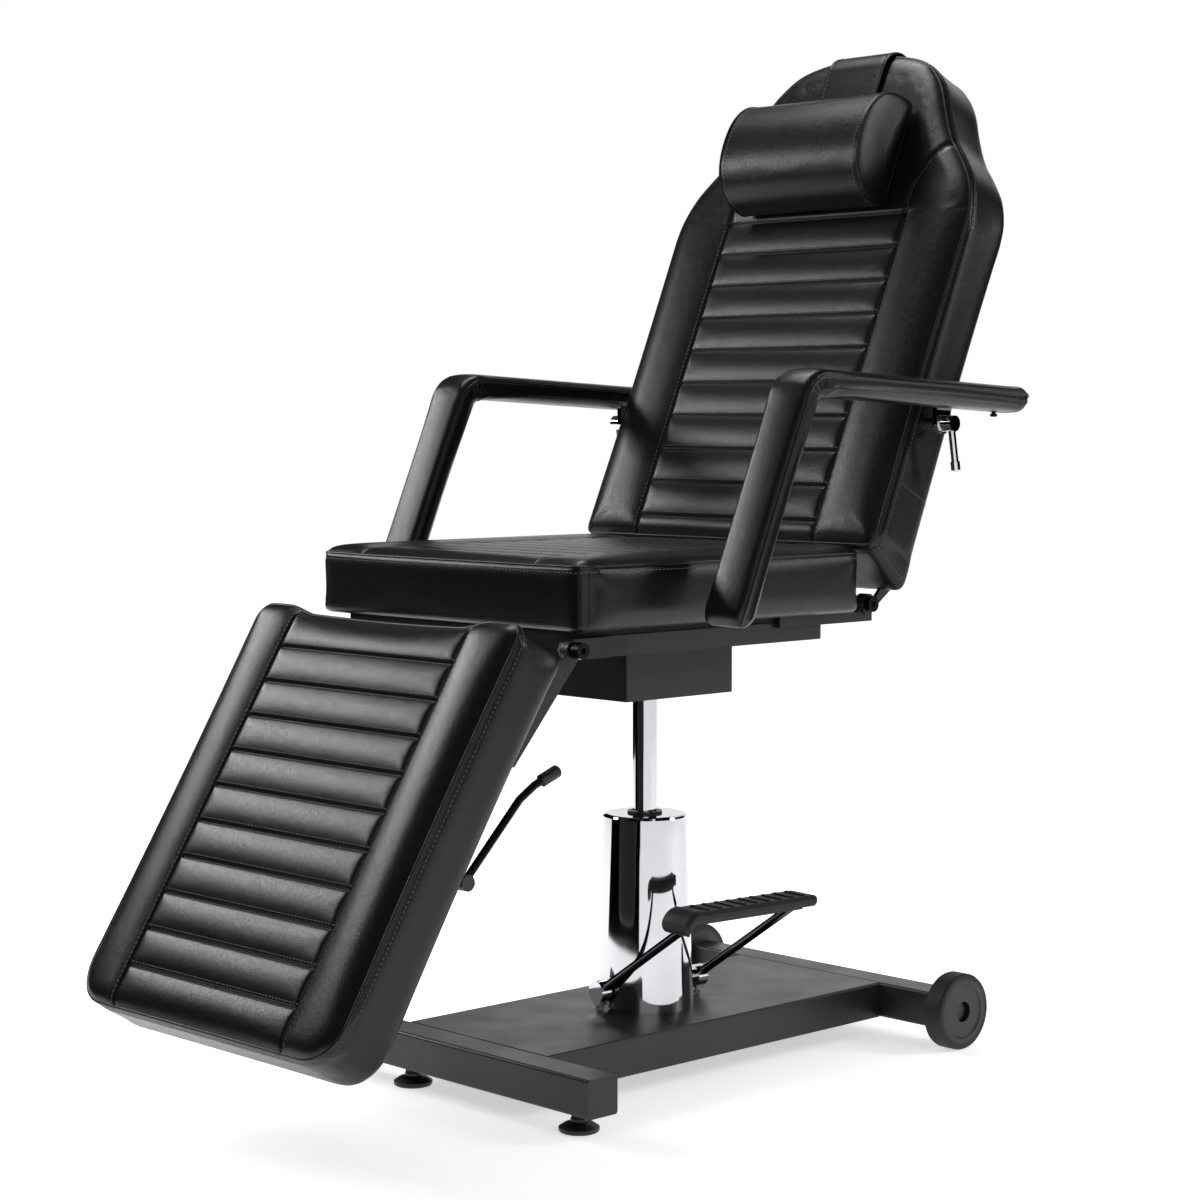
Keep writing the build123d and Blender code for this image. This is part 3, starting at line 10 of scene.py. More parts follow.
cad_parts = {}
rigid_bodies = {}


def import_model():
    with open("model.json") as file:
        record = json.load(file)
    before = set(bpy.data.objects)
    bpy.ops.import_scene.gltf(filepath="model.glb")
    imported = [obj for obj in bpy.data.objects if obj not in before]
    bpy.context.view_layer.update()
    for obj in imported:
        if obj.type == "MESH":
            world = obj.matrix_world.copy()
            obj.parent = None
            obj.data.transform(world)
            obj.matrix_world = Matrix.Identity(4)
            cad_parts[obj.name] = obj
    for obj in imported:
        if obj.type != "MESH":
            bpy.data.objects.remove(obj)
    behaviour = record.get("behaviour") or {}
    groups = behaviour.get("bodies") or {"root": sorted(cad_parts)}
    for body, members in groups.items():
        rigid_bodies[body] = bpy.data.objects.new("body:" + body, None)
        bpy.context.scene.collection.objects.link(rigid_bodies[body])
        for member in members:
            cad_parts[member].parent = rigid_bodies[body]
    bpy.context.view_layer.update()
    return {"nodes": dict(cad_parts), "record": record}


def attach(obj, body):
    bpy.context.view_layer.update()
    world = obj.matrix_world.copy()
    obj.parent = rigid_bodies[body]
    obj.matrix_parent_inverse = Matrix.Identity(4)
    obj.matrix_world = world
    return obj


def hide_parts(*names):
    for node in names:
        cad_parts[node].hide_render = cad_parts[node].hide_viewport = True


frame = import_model()
scene = bpy.context.scene
mm = 0.001
sides = {"left": 1, "right": -1}


# Small helpers for meshes

def link(piece):
    scene.collection.objects.link(piece)
    return piece


def meshObject(name, points, faces):
    mesh = bpy.data.meshes.new(name)
    mesh.from_pydata([tuple(p) for p in points], [], faces)
    mesh.update()
    mesh.polygons.foreach_set("use_smooth", [True] * len(mesh.polygons))
    return link(bpy.data.objects.new(name, mesh))


def coordsOf(mesh, what="co"):
    flat = np.empty(len(mesh.vertices) * 3, np.float32)
    mesh.vertices.foreach_get(what, flat)
    return flat.reshape(-1, 3).astype(float)


def vertexNormals(mesh):
    return coordsOf(mesh, "normal")


def setCoords(mesh, points):
    mesh.vertices.foreach_set("co", np.asarray(points, np.float32).ravel())
    mesh.update()


def applyModifiers(piece):
    graph = bpy.context.evaluated_depsgraph_get()
    fresh = bpy.data.meshes.new_from_object(piece.evaluated_get(graph))
    old = piece.data
    piece.modifiers.clear()
    piece.data = fresh
    bpy.data.meshes.remove(old)


def smoothStep(x, low=0.0, high=1.0):
    t = np.clip((np.asarray(x, float) - low) / (high - low), 0, 1)
    return t * t * (3 - 2 * t)


def slopedFrame(y, z, degrees):
    # local X runs across the chair, local Y up along the cushion, local Z out of its face
    c = math.cos(math.radians(degrees))
    s = math.sin(math.radians(degrees))
    return Matrix(((1, 0, 0, 0), (0, c, -s, y * mm), (0, s, c, z * mm), (0, 0, 0, 1)))


def place(matrix, points):
    flat = np.c_[np.asarray(points, float) * mm, np.ones(len(points))]
    return (flat @ np.array(matrix).T)[:, :3]


def unplace(matrix, points):
    flat = np.c_[points, np.ones(len(points))]
    return (flat @ np.array(matrix.inverted()).T)[:, :3] / mm


def linesThrough(low, high, fixed, step):
    # ascending places from low to high, about a step apart, that pass through the fixed ones
    anchors = sorted({low, high, *[f for f in fixed if low < f < high]})
    lines = [anchors[0]]
    for a, b in zip(anchors, anchors[1:]):
        count = max(1, round((b - a) / step))
        lines += [a + (b - a) * (i + 1) / count for i in range(count)]
    return np.array(lines)


def curveThrough(points, perSpan=10):
    # a smooth line through points, its ends included
    p = np.array([points[0], *points, points[-1]], float)
    rows = []
    for a, b, c, d in zip(p, p[1:], p[2:], p[3:]):
        for t in np.arange(perSpan) / perSpan:
            bending = (2 * a - 5 * b + 4 * c - d) * t**2
            rows.append(0.5 * (2 * b + (c - a) * t + bending + (3 * b - a - 3 * c + d) * t**3))
    rows.append(p[-1])
    return np.array(rows)


def lengthsOf(points):
    return np.r_[0, np.cumsum(np.linalg.norm(np.diff(points, axis=0), axis=1))]


def pointsAt(points, lengths):
    own = lengthsOf(points)
    return np.stack([np.interp(lengths, own, points[:, i]) for i in range(points.shape[1])], axis=1)


def unit(vectors):
    return vectors / (np.linalg.norm(vectors, axis=1)[:, None] + 1e-12)


def outward(points):
    # normals to the right of a line that runs anticlockwise round its shape
    step = unit(np.gradient(points, axis=0))
    return np.stack([step[:, 1], -step[:, 0]], axis=1)


def nearest(points, line):
    # distance in the plane from each point to a line of short runs
    best = np.full(len(points), 1e9)
    for a, b in zip(line, line[1:]):
        run = b - a
        t = np.clip(((points - a) @ run) / (run @ run + 1e-12), 0, 1)
        best = np.minimum(best, np.linalg.norm(points - a - t[:, None] * run, axis=1))
    return best


def inflate(piece, held, reach, pressure=4.0):
    # the cover swells as cloth under pressure, held at its seams, and no point passes its reach
    start = coordsOf(piece.data)
    group = piece.vertex_groups.new(name="held")
    group.add([int(i) for i in np.flatnonzero(held)], 1.0, "REPLACE")
    cloth = piece.modifiers.new("swell", "CLOTH")
    cloth.settings.vertex_group_mass = "held"
    cloth.settings.use_pressure = True
    cloth.settings.uniform_pressure_force = pressure
    cloth.settings.effector_weights.gravity = 0
    cloth.settings.quality = 2
    lastFrame = 20
    cloth.point_cache.frame_start = 1
    cloth.point_cache.frame_end = lastFrame
    for number in range(1, lastFrame + 1):
        scene.frame_set(number)
    graph = bpy.context.evaluated_depsgraph_get()
    moved = piece.evaluated_get(graph).to_mesh()
    shift = coordsOf(moved) - start
    piece.evaluated_get(graph).to_mesh_clear()
    piece.modifiers.clear()
    piece.vertex_groups.clear()
    size = np.linalg.norm(shift, axis=1) + 1e-9
    limit = np.asarray(reach) * mm + 1e-9
    setCoords(piece.data, start + shift * (limit * np.tanh(size / limit) / size)[:, None])
    scene.frame_set(1)


def subdivide(piece):
    # the many-sided caps stay out of it, and close the mesh again afterwards
    mostSides = 8
    form = bmesh.new()
    form.from_mesh(piece.data)
    caps = [f for f in form.faces if len(f.verts) > mostSides]
    bmesh.ops.delete(form, geom=caps, context="FACES_ONLY")
    form.to_mesh(piece.data)
    form.free()
    piece.modifiers.new("finer", "SUBSURF").levels = 1
    applyModifiers(piece)
    form = bmesh.new()
    form.from_mesh(piece.data)
    bmesh.ops.holes_fill(form, edges=[e for e in form.edges if e.is_boundary], sides=0)
    form.to_mesh(piece.data)
    form.free()
    piece.data.polygons.foreach_set("use_smooth", [True] * len(piece.data.polygons))


def sweep(name, rings, closed=False):
    # quads between rings of equal length, closed at both ends or run round into a loop
    count = len(rings[0])
    points = np.concatenate(rings)
    faces = []
    steps = len(rings) if closed else len(rings) - 1
    for i in range(steps):
        a = i * count
        b = (i + 1) % len(rings) * count
        faces += [(a + j, a + (j + 1) % count, b + (j + 1) % count, b + j) for j in range(count)]
    if not closed:
        faces.append(tuple(range(count))[::-1])
        faces.append(tuple(range(len(points) - count, len(points))))
    return meshObject(name, points, faces)


def sweepFrames(line, closed):
    ahead = np.roll(line, -1, axis=0) - np.roll(line, 1, axis=0)
    if not closed:
        ahead[0] = line[1] - line[0]
        ahead[-1] = line[-1] - line[-2]
    return unit(ahead)


def piping(name, line, normals, radius, body, closed=True, sunk=0.35, count=8):
    # a round cord sewn into a seam, sunk a little into the cover
    ahead = sweepFrames(line, closed)
    across = unit(np.cross(ahead, normals))
    up = np.cross(across, ahead)
    centre = line - up * radius * mm * sunk
    turns = np.arange(count) * 2 * math.pi / count
    rings = [
        c + radius * mm * (np.cos(turns)[:, None] * a + np.sin(turns)[:, None] * u)
        for c, a, u in zip(centre, across, up)
    ]
    piece = sweep(name, rings, closed)
    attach(piece, body)


def stitches(name, lines, body, pitch=6.5, length=4.2, radius=0.75):
    # short rounded threads laid end to end along lines of (points, normals): each is a five-sided
    # rod of four rings, given as shares of its length and radius
    around = 5
    turns = np.arange(around) * 2 * math.pi / around
    shares = ((-0.5, 0.35), (-0.3, 1.0), (0.3, 1.0), (0.5, 0.35))
    points = []
    faces = []
    for line, normals in lines:
        total = lengthsOf(line)[-1]
        count = max(1, int(total / (pitch * mm)))
        middles = (np.arange(count) + 0.5) * total / count
        centre = pointsAt(line, middles)
        up = np.stack([np.interp(middles, lengthsOf(line), normals[:, i]) for i in range(3)], axis=1)
        ahead = unit(pointsAt(line, middles + 0.5 * mm) - pointsAt(line, middles - 0.5 * mm))
        across = unit(np.cross(ahead, up))
        up = np.cross(across, ahead)
        for c, t, a, u in zip(centre, ahead, across, up):
            base = len(points)
            for along, size in shares:
                ring = c + t * along * length * mm + radius * mm * size * (
                    np.cos(turns)[:, None] * a + np.sin(turns)[:, None] * u
                )
                points += list(ring)
            for k in range(len(shares) - 1):
                for j in range(around):
                    a0 = base + around * k + j
                    a1 = base + around * k + (j + 1) % around
                    faces.append((a0, a1, a1 + around, a0 + around))
            faces.append(tuple(range(base, base + around))[::-1])
            faces.append(tuple(range(len(points) - around, len(points))))
    piece = meshObject(name, points, faces)
    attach(piece, body)


def drape(piece, points, direction, lift=0.0):
    # the places and normals where lines dropped in one direction meet a piece
    tree = BVHTree.FromPolygons(
        [v.co for v in piece.data.vertices], [tuple(p.vertices) for p in piece.data.polygons]
    )
    heading = Vector(direction).normalized()
    hits = []
    normals = []
    for p in points:
        start = Vector(p) - heading * 0.2
        hit, normal = tree.ray_cast(start, heading)[:2]
        if hit is not None:
            hits.append(hit + normal * lift * mm)
            normals.append(normal)
    return np.array(hits), np.array(normals)


# Cushions of the seat, the backrest and the leg rest. Their sizes are those of the model, in mm.

cushion = {
    "inset": 5,             # from the outline in to the cord round the front edge
    "seamHalf": 172,        # from the middle out to the seams between rolls and bolsters
    "lip": 1.3,             # half the width of a seam's floor
    "groove": 11,           # how far the leather bends towards a seam between rolls
    "rollEnd": 6,           # and at the ends of the rolls
    "bolsterEdge": 16,      # and on a bolster's side of its seam
    "curveGroove": 7,       # and towards a curved seam
    "curveDrop": 4.0,       # how deep a curved seam is drawn in
    "seamFloor": -0.3,      # height of a seam's floor
    "crease": 2.8,          # how much deeper the leather is drawn at the thread itself
    "bolsterRise": 2.0,     # how far the bolsters stand above the rolls
    "beside": 4.5,          # how far the stitches lie from the seam
    "shoulder": 26,         # width of the rounding at the front edge
    "shoulderDrop": 9,      # and its depth
    "crown": 3.0,           # height of the cover before it swells
    "swell": 2.6,           # how far the cover may swell
    "step": 7.0,            # spacing of the mesh
    "piping": 2.5,          # radius of the cord round the front edge
    "sideStart": 17,        # where the plain side begins below its seams
    "sideStep": 9,          # spacing of the mesh down the side
    "sideDraw": 0.4,        # how far the side lies inside the outline
    "sideHollow": 0.9,      # and how much more in the middle of its height
    "hem": 8,               # height of the rolled rear edge
    "thread": {"length": 4.2, "radius": 0.8},
}


def lowerHalf(halfWidth, low, radius, cornerSteps, sideTop, draw):
    # the right half of an outline, from the middle below round its corner and up its side
    points = [(x, low) for x in np.linspace(0, halfWidth - radius, 30)]
    for t in np.radians(np.linspace(-90, 0, cornerSteps))[1:]:
        points.append((halfWidth - radius + radius * math.cos(t), low + radius + radius * math.sin(t)))
    for share in np.linspace(0, 1, 40)[1:-1]:
        y = low + radius + (sideTop - low - radius) * share
        points.append((halfWidth - draw * math.sin(math.pi * share), y))
    return points


def boxHalf(halfWidth, low, high, lowRadius, highRadius, draw):
    points = lowerHalf(halfWidth, low, lowRadius, 14, high - highRadius, draw)
    r = highRadius
    for t in np.radians(np.linspace(0, 90, 14)):
        points.append((halfWidth - r + r * math.cos(t), high - r + r * math.sin(t)))
    points += [(x, high) for x in np.linspace(halfWidth - highRadius, 0, 30)[1:]]
    return np.array(points)


def backHalf(halfWidth, low, radius, shoulderY):
    # straight sides, shoulders, a drawn-in neck and a round head
    points = lowerHalf(halfWidth, low, radius, 8, shoulderY, 2)
    head = [(halfWidth, shoulderY), (280, 512), (265.5, 548), (240.5, 581.5), (213, 614), (189, 656)]
    head += [(171, 692), (149, 721.5), (119, 745), (66.5, 759), (0, 763)]
    return np.r_[np.array(points), curveThrough(head)]


def panelGrid(half, xs, ys, low, high, lowKeep, highKeep, blend):
    # a rectangle of mesh lines bent onto an outline, with the seams kept straight
    inner = half - outward(half) * cushion["inset"]
    inner[0, 0] = 0
    inner[-1, 0] = 0
    own = lengthsOf(inner)
    normals = outward(inner)
    angle = np.degrees(np.arctan2(normals[:, 1], normals[:, 0]))
    lowCorner = np.interp(-45, angle[: len(angle) // 2], own[: len(angle) // 2])
    last = np.flatnonzero(angle < 45)[-1]
    highCorner = own[last]
    halfWidth = xs[-1]
    side = slice(np.searchsorted(own, lowCorner), last)
    sideY = inner[side, 1]
    sideS = own[side]
    lowStart = own[np.flatnonzero(angle > -88)[0]]
    highEnd = own[np.flatnonzero(angle < 88)[-1]]
    xLow = np.interp(lowStart, own, inner[:, 0])
    xHigh = np.interp(highEnd, own, inner[:, 0])
    rowS = np.interp(
        ys,
        [low, lowKeep, highKeep, high],
        [lowCorner, np.interp(lowKeep, sideY, sideS), np.interp(highKeep, sideY, sideS), highCorner],
    )
    middle = (ys > lowKeep) & (ys < highKeep)
    rowS[middle] = np.interp(ys[middle], sideY, sideS)
    right = pointsAt(inner, rowS)
    away = np.abs(xs)
    topS = np.interp(away, [0, xHigh, halfWidth], [own[-1], highEnd, highCorner])
    bottomS = np.interp(away, [0, xLow, halfWidth], [0, lowStart, lowCorner])
    top = pointsAt(inner, topS)
    bottom = pointsAt(inner, bottomS)
    across, along = np.meshgrid(away, ys)
    seam = cushion["seamHalf"]
    body = np.clip((across - seam) / (halfWidth - seam), 0, 1)
    u = body + (across / halfWidth - body) * (smoothStep(along, *blend) if blend else 0)
    leastZone = 30
    zoneHigh = max(high - highKeep, leastZone)
    zoneLow = max(lowKeep - low, leastZone)
    up = np.clip((along - high + zoneHigh) / zoneHigh, 0, 1)
    down = np.clip((low + zoneLow - along) / zoneLow, 0, 1)
    dRight = right - np.stack([np.full(len(ys), halfWidth), ys], axis=1)
    dTop = top - np.stack([away, np.full(len(xs), high)], axis=1)
    dBottom = bottom - np.stack([away, np.full(len(xs), low)], axis=1)
    move = (
        u[..., None] * dRight[:, None]
        + up[..., None] * dTop[None]
        + down[..., None] * dBottom[None]
        - (u * up)[..., None] * dRight[-1]
        - (u * down)[..., None] * dRight[0]
    )
    grid = np.stack([across, along], axis=2) + move
    grid[..., 0] *= np.where(xs < 0, -1, 1)[None]
    edge = np.r_[inner, inner[::-1] * (-1, 1)]
    return grid, edge


def fallOff(distance, reach):
    # 1 at a seam and 0 where the leather no longer bends towards it
    return np.clip(1 - np.abs(distance) / reach, 0, 1) ** 2


def coverFront(values, grid, edge, xs, ys):
    # heights of the sewn front, the vertices held by its seams, and how much its top end sags
    seam = cushion["seamHalf"]
    high = values["high"]
    seamTop = values["seamEnds"][1]
    stopsShort = seamTop < high - 20
    across, along = np.meshgrid(xs, ys)
    fromEdge = nearest(grid.reshape(-1, 2), edge).reshape(across.shape)
    q = np.clip(1 - fromEdge / cushion["shoulder"], 0, 1)
    base = cushion["crown"] - cushion["shoulderDrop"] * (1 - np.sqrt(1 - q**2 * 0.98))
    beyond = np.abs(across) - seam
    lateral = fallOff(beyond, np.where(beyond < 0, cushion["rollEnd"], cushion["bolsterEdge"]))
    if stopsShort:
        lateral *= smoothStep(along, seamTop + 6, seamTop - 4)
    else:
        lateral *= (along > values["seamEnds"][0]) & (along < seamTop)
    cross = np.zeros_like(across)
    for s in values["seams"]:
        cross = np.maximum(cross, fallOff(along - s, cushion["groove"]))
    cross *= np.abs(across) <= seam
    depth = np.maximum(lateral, cross)
    bolster = np.clip(beyond / (xs[-1] - seam), 0, 1)
    upper = 1 - smoothStep(along, seamTop - 60, seamTop + 70) * stopsShort
    base += cushion["bolsterRise"] * np.sin(math.pi * bolster) ** 0.7 * upper
    sag = np.clip(1 - (np.abs(across) / 200) ** 2, 0, 1) * smoothStep(along, high - 60, high - 5)
    base -= values.get("dip", 0) * sag
    above = base - cushion["seamFloor"]
    height = cushion["seamFloor"] + np.maximum(above, 0) * (1 - depth) + np.minimum(above, 0)
    nearby = 0.01
    thread = (np.abs(beyond) < nearby) & (lateral > 0.5)
    held = (np.abs(beyond) <= cushion["lip"] + nearby) & (lateral > 0.5)
    for s in values["seams"]:
        thread |= (np.abs(along - s) < nearby) & (beyond < nearby)
        held |= (np.abs(along - s) <= cushion["lip"] + nearby) & (np.abs(across) <= seam)
    return height - cushion["crease"] * thread, held, sag


def sideLevels(thickness, rim):
    # (inset from the outline, height) down the side: two seams, the plain side, the rolled rear edge
    start, draw, hollow = (cushion[k] for k in ("sideStart", "sideDraw", "sideHollow"))
    levels = [(3.4, -6.0), (1.8, -8.0), (0.9, -11.5), (1.4, -14.0), (draw, -start)]
    plain = thickness - start - cushion["hem"]
    count = max(3, round(plain / cushion["sideStep"]))
    for k in range(1, count + 1):
        levels.append((draw + hollow * math.sin(math.pi * k / count), -start - plain * k / count))
    levels += [(2.2, -thickness + 3.0), (6.5, -thickness + 0.4), (rim * 0.55, -thickness), (rim, -thickness)]
    levels.append((rim, -thickness + 6))
    return levels


def coverReach(values, points):
    # how far each vertex may swell: less beside the ends and over the head
    low, high = values["low"], values["high"]
    reach = np.full(len(points), cushion["swell"])
    reach[points[:, 2] < -7] = values["bulge"]
    nearEnd = (points[:, 1] < low + 12) | (points[:, 1] > high - 12)
    reach[nearEnd & (points[:, 2] < -4)] = 1.5
    if "blend" in values:
        headStart = values["blend"][0]
        reach *= 1 - 0.75 * smoothStep(points[:, 1], headStart, headStart + 60)
    return reach


def buildCushion(name, values):
    # one closed cover: a sewn front, sides with a double seam, a rolled rear edge and a hidden back
    half, low, high, thickness = (values[k] for k in ("outline", "low", "high", "thickness"))
    seams, matrix, dip = values["seams"], values["matrix"], values.get("dip", 0)
    inset, seam, lip, beside = (cushion[k] for k in ("inset", "seamHalf", "lip", "beside"))
    halfWidth = half[:, 0].max() - inset
    offsets = (-beside, -lip, 0, lip, beside)
    step = cushion["step"]
    xs = linesThrough(-halfWidth, halfWidth, [side * seam + b for side in (1, -1) for b in offsets], step)
    ys = linesThrough(low + inset, high - inset, [s + b for s in seams for b in offsets], step)
    keep = values["keep"]
    grid, edge = panelGrid(half, xs, ys, low + inset, high - inset, *keep, values.get("blend"))
    height, gridHeld, sag = coverFront(values, grid, edge, xs, ys)
    rows, columns = grid.shape[:2]
    flat = grid.reshape(-1, 2)
    index = np.arange(rows * columns).reshape(rows, columns)
    ring = np.r_[index[0, :-1], index[:-1, -1], index[-1, :0:-1], index[:0:-1, 0]]
    loop = flat[ring]
    ahead = np.roll(loop, -1, axis=0) - np.roll(loop, 1, axis=0)
    ahead /= np.linalg.norm(ahead, axis=1)[:, None]
    normal = np.stack([ahead[:, 1], -ahead[:, 0]], axis=1)
    levels = sideLevels(thickness, values["rim"])
    points = [np.c_[flat, height.ravel()]]
    for put, z in levels:
        drop = dip * sag.ravel()[ring] * smoothStep(z, -40, -6)
        points.append(np.c_[loop + normal * (inset - put), z - drop])
    points = np.concatenate(points)
    if dip:
        # the rolls end a little lower than the bolsters beside them
        between = 1 - smoothStep(np.abs(points[:, 0]), seam - 25, seam + 25)
        points[:, 1] -= dip * between * smoothStep(points[:, 1], high - 55, high)
    if "shear" in values:
        # the lower end leans back with the depth
        deep = np.clip(-points[:, 2] / thickness, 0, 1)
        points[:, 1] -= values["shear"] * deep * (1 - smoothStep(points[:, 1], low, low + 130))
    faces = []
    for j in range(rows - 1):
        for i in range(columns - 1):
            a = j * columns + i
            faces.append((a, a + 1, a + columns + 1, a + columns))
    size = len(ring)
    rings = [ring] + [rows * columns + k * size + np.arange(size) for k in range(len(levels))]
    for a, b in zip(rings, rings[1:]):
        for j in range(size):
            k = (j + 1) % size
            faces.append((int(a[j]), int(b[j]), int(b[k]), int(a[k])))
    faces.append(tuple(int(i) for i in rings[-1])[::-1])

    piece = meshObject(name, place(matrix, points), faces)
    held = np.zeros(len(points), bool)
    held[: rows * columns] = gridHeld.ravel()
    for k in (1, -3, -2, -1):
        held[rings[k]] = True
    inflate(piece, held, coverReach(values, points))
    subdivide(piece)
    if "curves" in values:
        points = coordsOf(piece.data)
        local = unplace(matrix, points)
        distance = np.min([nearest(local[:, :2], curve) for curve in values["curves"]], axis=0)
        pressed = cushion["curveDrop"] * fallOff(distance, cushion["curveGroove"]) * (local[:, 2] > -12)
        setCoords(piece.data, points - vertexNormals(piece.data) * pressed[:, None] * mm)
    columnAt = {side: np.argmin(np.abs(xs - side * (seam + beside))) for side in (1, -1)}
    lines = {
        "rings": rings,
        "columns": [index[:, column] for column in columnAt.values()],
        "rows": [index[np.argmin(np.abs(ys - s - beside)), np.abs(xs) <= seam + 0.01] for s in seams],
        "ys": ys,
    }
    print("cushion", name, len(piece.data.vertices))
    return piece, lines


def seamLine(piece, path, lift=0.0):
    points = coordsOf(piece.data)[path]
    normals = vertexNormals(piece.data)[path]
    return points + normals * lift * mm, normals


def sewOn(name, piece, paths, heading, body, radius=0.9, beside=3.0):
    # seams that cross the mesh lines: a thin welt dropped onto the cover, and stitches beside it
    sewn = []
    for number, path in enumerate(paths):
        points, normals = drape(piece, path, heading)
        piping(f"{name}{number}", points, normals, radius, body, closed=False, sunk=0.45, count=6)
        across = np.cross(sweepFrames(points, False), normals)
        sewn.append(drape(piece, points + across * beside * mm, heading, 0.2))
    stitches(f"{name}_stitches", sewn, body, **cushion["thread"])


def trim(name, piece, lines, values):
    # piping round the front edge and stitches along every sewn line
    body = values["body"]
    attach(piece, body)
    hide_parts(values["node"])
    points, normals = seamLine(piece, lines["rings"][1])
    piping(f"{name}_piping", points, normals, cushion["piping"], body)
    sewn = []
    stitchRing = 4
    if values.get("double"):
        points, normals = seamLine(piece, lines["rings"][4])
        piping(f"{name}_secondPiping", points, normals, cushion["piping"] * 0.75, body)
        stitchRing = 5
    points, normals = seamLine(piece, lines["rings"][stitchRing], 0.15)
    sewn.append((np.r_[points, points[:1]], np.r_[normals, normals[:1]]))
    sewn += [seamLine(piece, row, 0.25) for row in lines["rows"]]
    low, high = values["stitched"]
    keep = (lines["ys"] > low) & (lines["ys"] < high)
    sewn += [seamLine(piece, column[keep], 0.25) for column in lines["columns"]]
    stitches(f"{name}_stitches", sewn, body)


pumpY = 112
seat = {
    "outline": boxHalf(263, -365, 158, 22, 22, 3),
    "low": -365,
    "high": 158,
    "keep": (-343, 136),                # between these the sides are straight
    "seams": [-305 + 463 / 9 * k for k in range(9)],
    "seamEnds": (-370, 170),            # the long seams run from end to end
    "stitched": (-362, 155),            # where the stitches beside them run
    "thickness": 88,
    "rim": 30,                          # how far the cover is turned in behind
    "bulge": 6,                         # how far the sides may swell
    "matrix": slopedFrame(pumpY, 718, 0),
    "body": "seat",
    "node": "seat_cushion",
}
seatShape, seatLines = buildCushion("seatCover", seat)
trim("seat", seatShape, seatLines, seat)
cornerSeams = []
for side in sides.values():
    # two upright welts meet at each front corner
    spots = coordsOf(seatShape.data)[seatLines["rings"][3]]
    cornerSpot = np.array([side * 263, pumpY + seat["low"]]) * mm
    corner = np.argmin(np.linalg.norm(spots[:, :2] - cornerSpot, axis=1))
    for step in (-1, 1):
        path = [ring[corner + step] for ring in seatLines["rings"][4:-4]]
        cornerSeams.append(seamLine(seatShape, path, 0.1))
for number, (points, normals) in enumerate(cornerSeams):
    piping(f"seatCorner{number}", points, normals, 0.9, "seat", closed=False, sunk=0.4, count=6)

headTurn = ((170, 496), (170, 518), (173, 544), (188, 575), (208, 598), (226, 608))
back = {
    "outline": backHalf(284, -4, 14, 478),
    "low": -4,
    "high": 763,
    "keep": (12, 690),
    "seams": [26 + 470 / 9 * k for k in range(10)],
    "seamEnds": (-10, 496),             # above this the long seams turn outwards
    "stitched": (-1, 496),
    "thickness": 92,
    "rim": 36,
    "bulge": 4,
    "blend": (496, 650),                # here the mesh lines turn from the seams to the head
    "shear": 38,
    "curves": [curveThrough([(side * x, y) for x, y in headTurn]) for side in sides.values()],
    "sideSeams": (((318, 808), (382, 774)), ((268, 732), (326, 676))),      # (y, z) ends on each side
    "double": True,
    "matrix": slopedFrame(262.024, 728.04, 66.5),
    "body": "backrest",
    "node": "backrest_cushion",
}
backShape, backLines = buildCushion("backCover", back)
trim("back", backShape, backLines, back)
curvePaths = [place(back["matrix"], np.c_[curve, np.zeros(len(curve))]) for curve in back["curves"]]
sewOn("backCurve", backShape, curvePaths, np.array(back["matrix"].to_3x3()) @ (0, 0, -1), "backrest")
for name, side in sides.items():
    paths = []
    for ends in back["sideSeams"]:
        line = pointsAt(np.array(ends, float), np.linspace(0, math.dist(*ends), 14))
        paths.append(np.c_[np.full(len(line), side * 250), line] * mm)
    sewOn(f"{name}BackSide", backShape, paths, (-side, 0, 0), "backrest")

legRest = {
    "outline": boxHalf(263, -577, 0, 56, 26, 3),
    "low": -577,
    "high": 0,
    "keep": (-521, -26),
    "seams": [-66 - 50.3 * k for k in range(9, -1, -1)],
    "seamEnds": (-580, 10),
    "stitched": (-574, -3),
    "thickness": 86,
    "rim": 30,
    "bulge": 3.5,
    "dip": 9,                           # how far the top end sags between the bolsters
    "matrix": slopedFrame(-349.017, 653.056, 58.3),
    "body": "leg_rest",
    "node": "leg_rest_cushion",
}
legShape, legLines = buildCushion("legCover", legRest)
trim("leg", legShape, legLines, legRest)

# Armrests

arm = {
    "foot": (-65.0, 654.0),     # (y, z) along the middle line of the padded bar
    "corner": (58.0, 940.0),
    "end": (476.0, 919.0),
    "bend": 35,                 # radius of its elbow
    "halfThick": 21,
    "halfWide": 33.5,
    "middle": 332.5,            # from the middle of the chair out to the bar
    "round": 13,                # of the lower edges; the upper ones are a little sharper
    "crown": 3.5,               # how far both broad faces rise towards their middle
    "seamDown": 11.5,           # from the upper face down to the seams
    "swell": 2.6,
    "step": 7,                  # spacing of the mesh
    "ripple": 0.9,              # height of the folds inside the elbow
    "piping": 1.9,
}


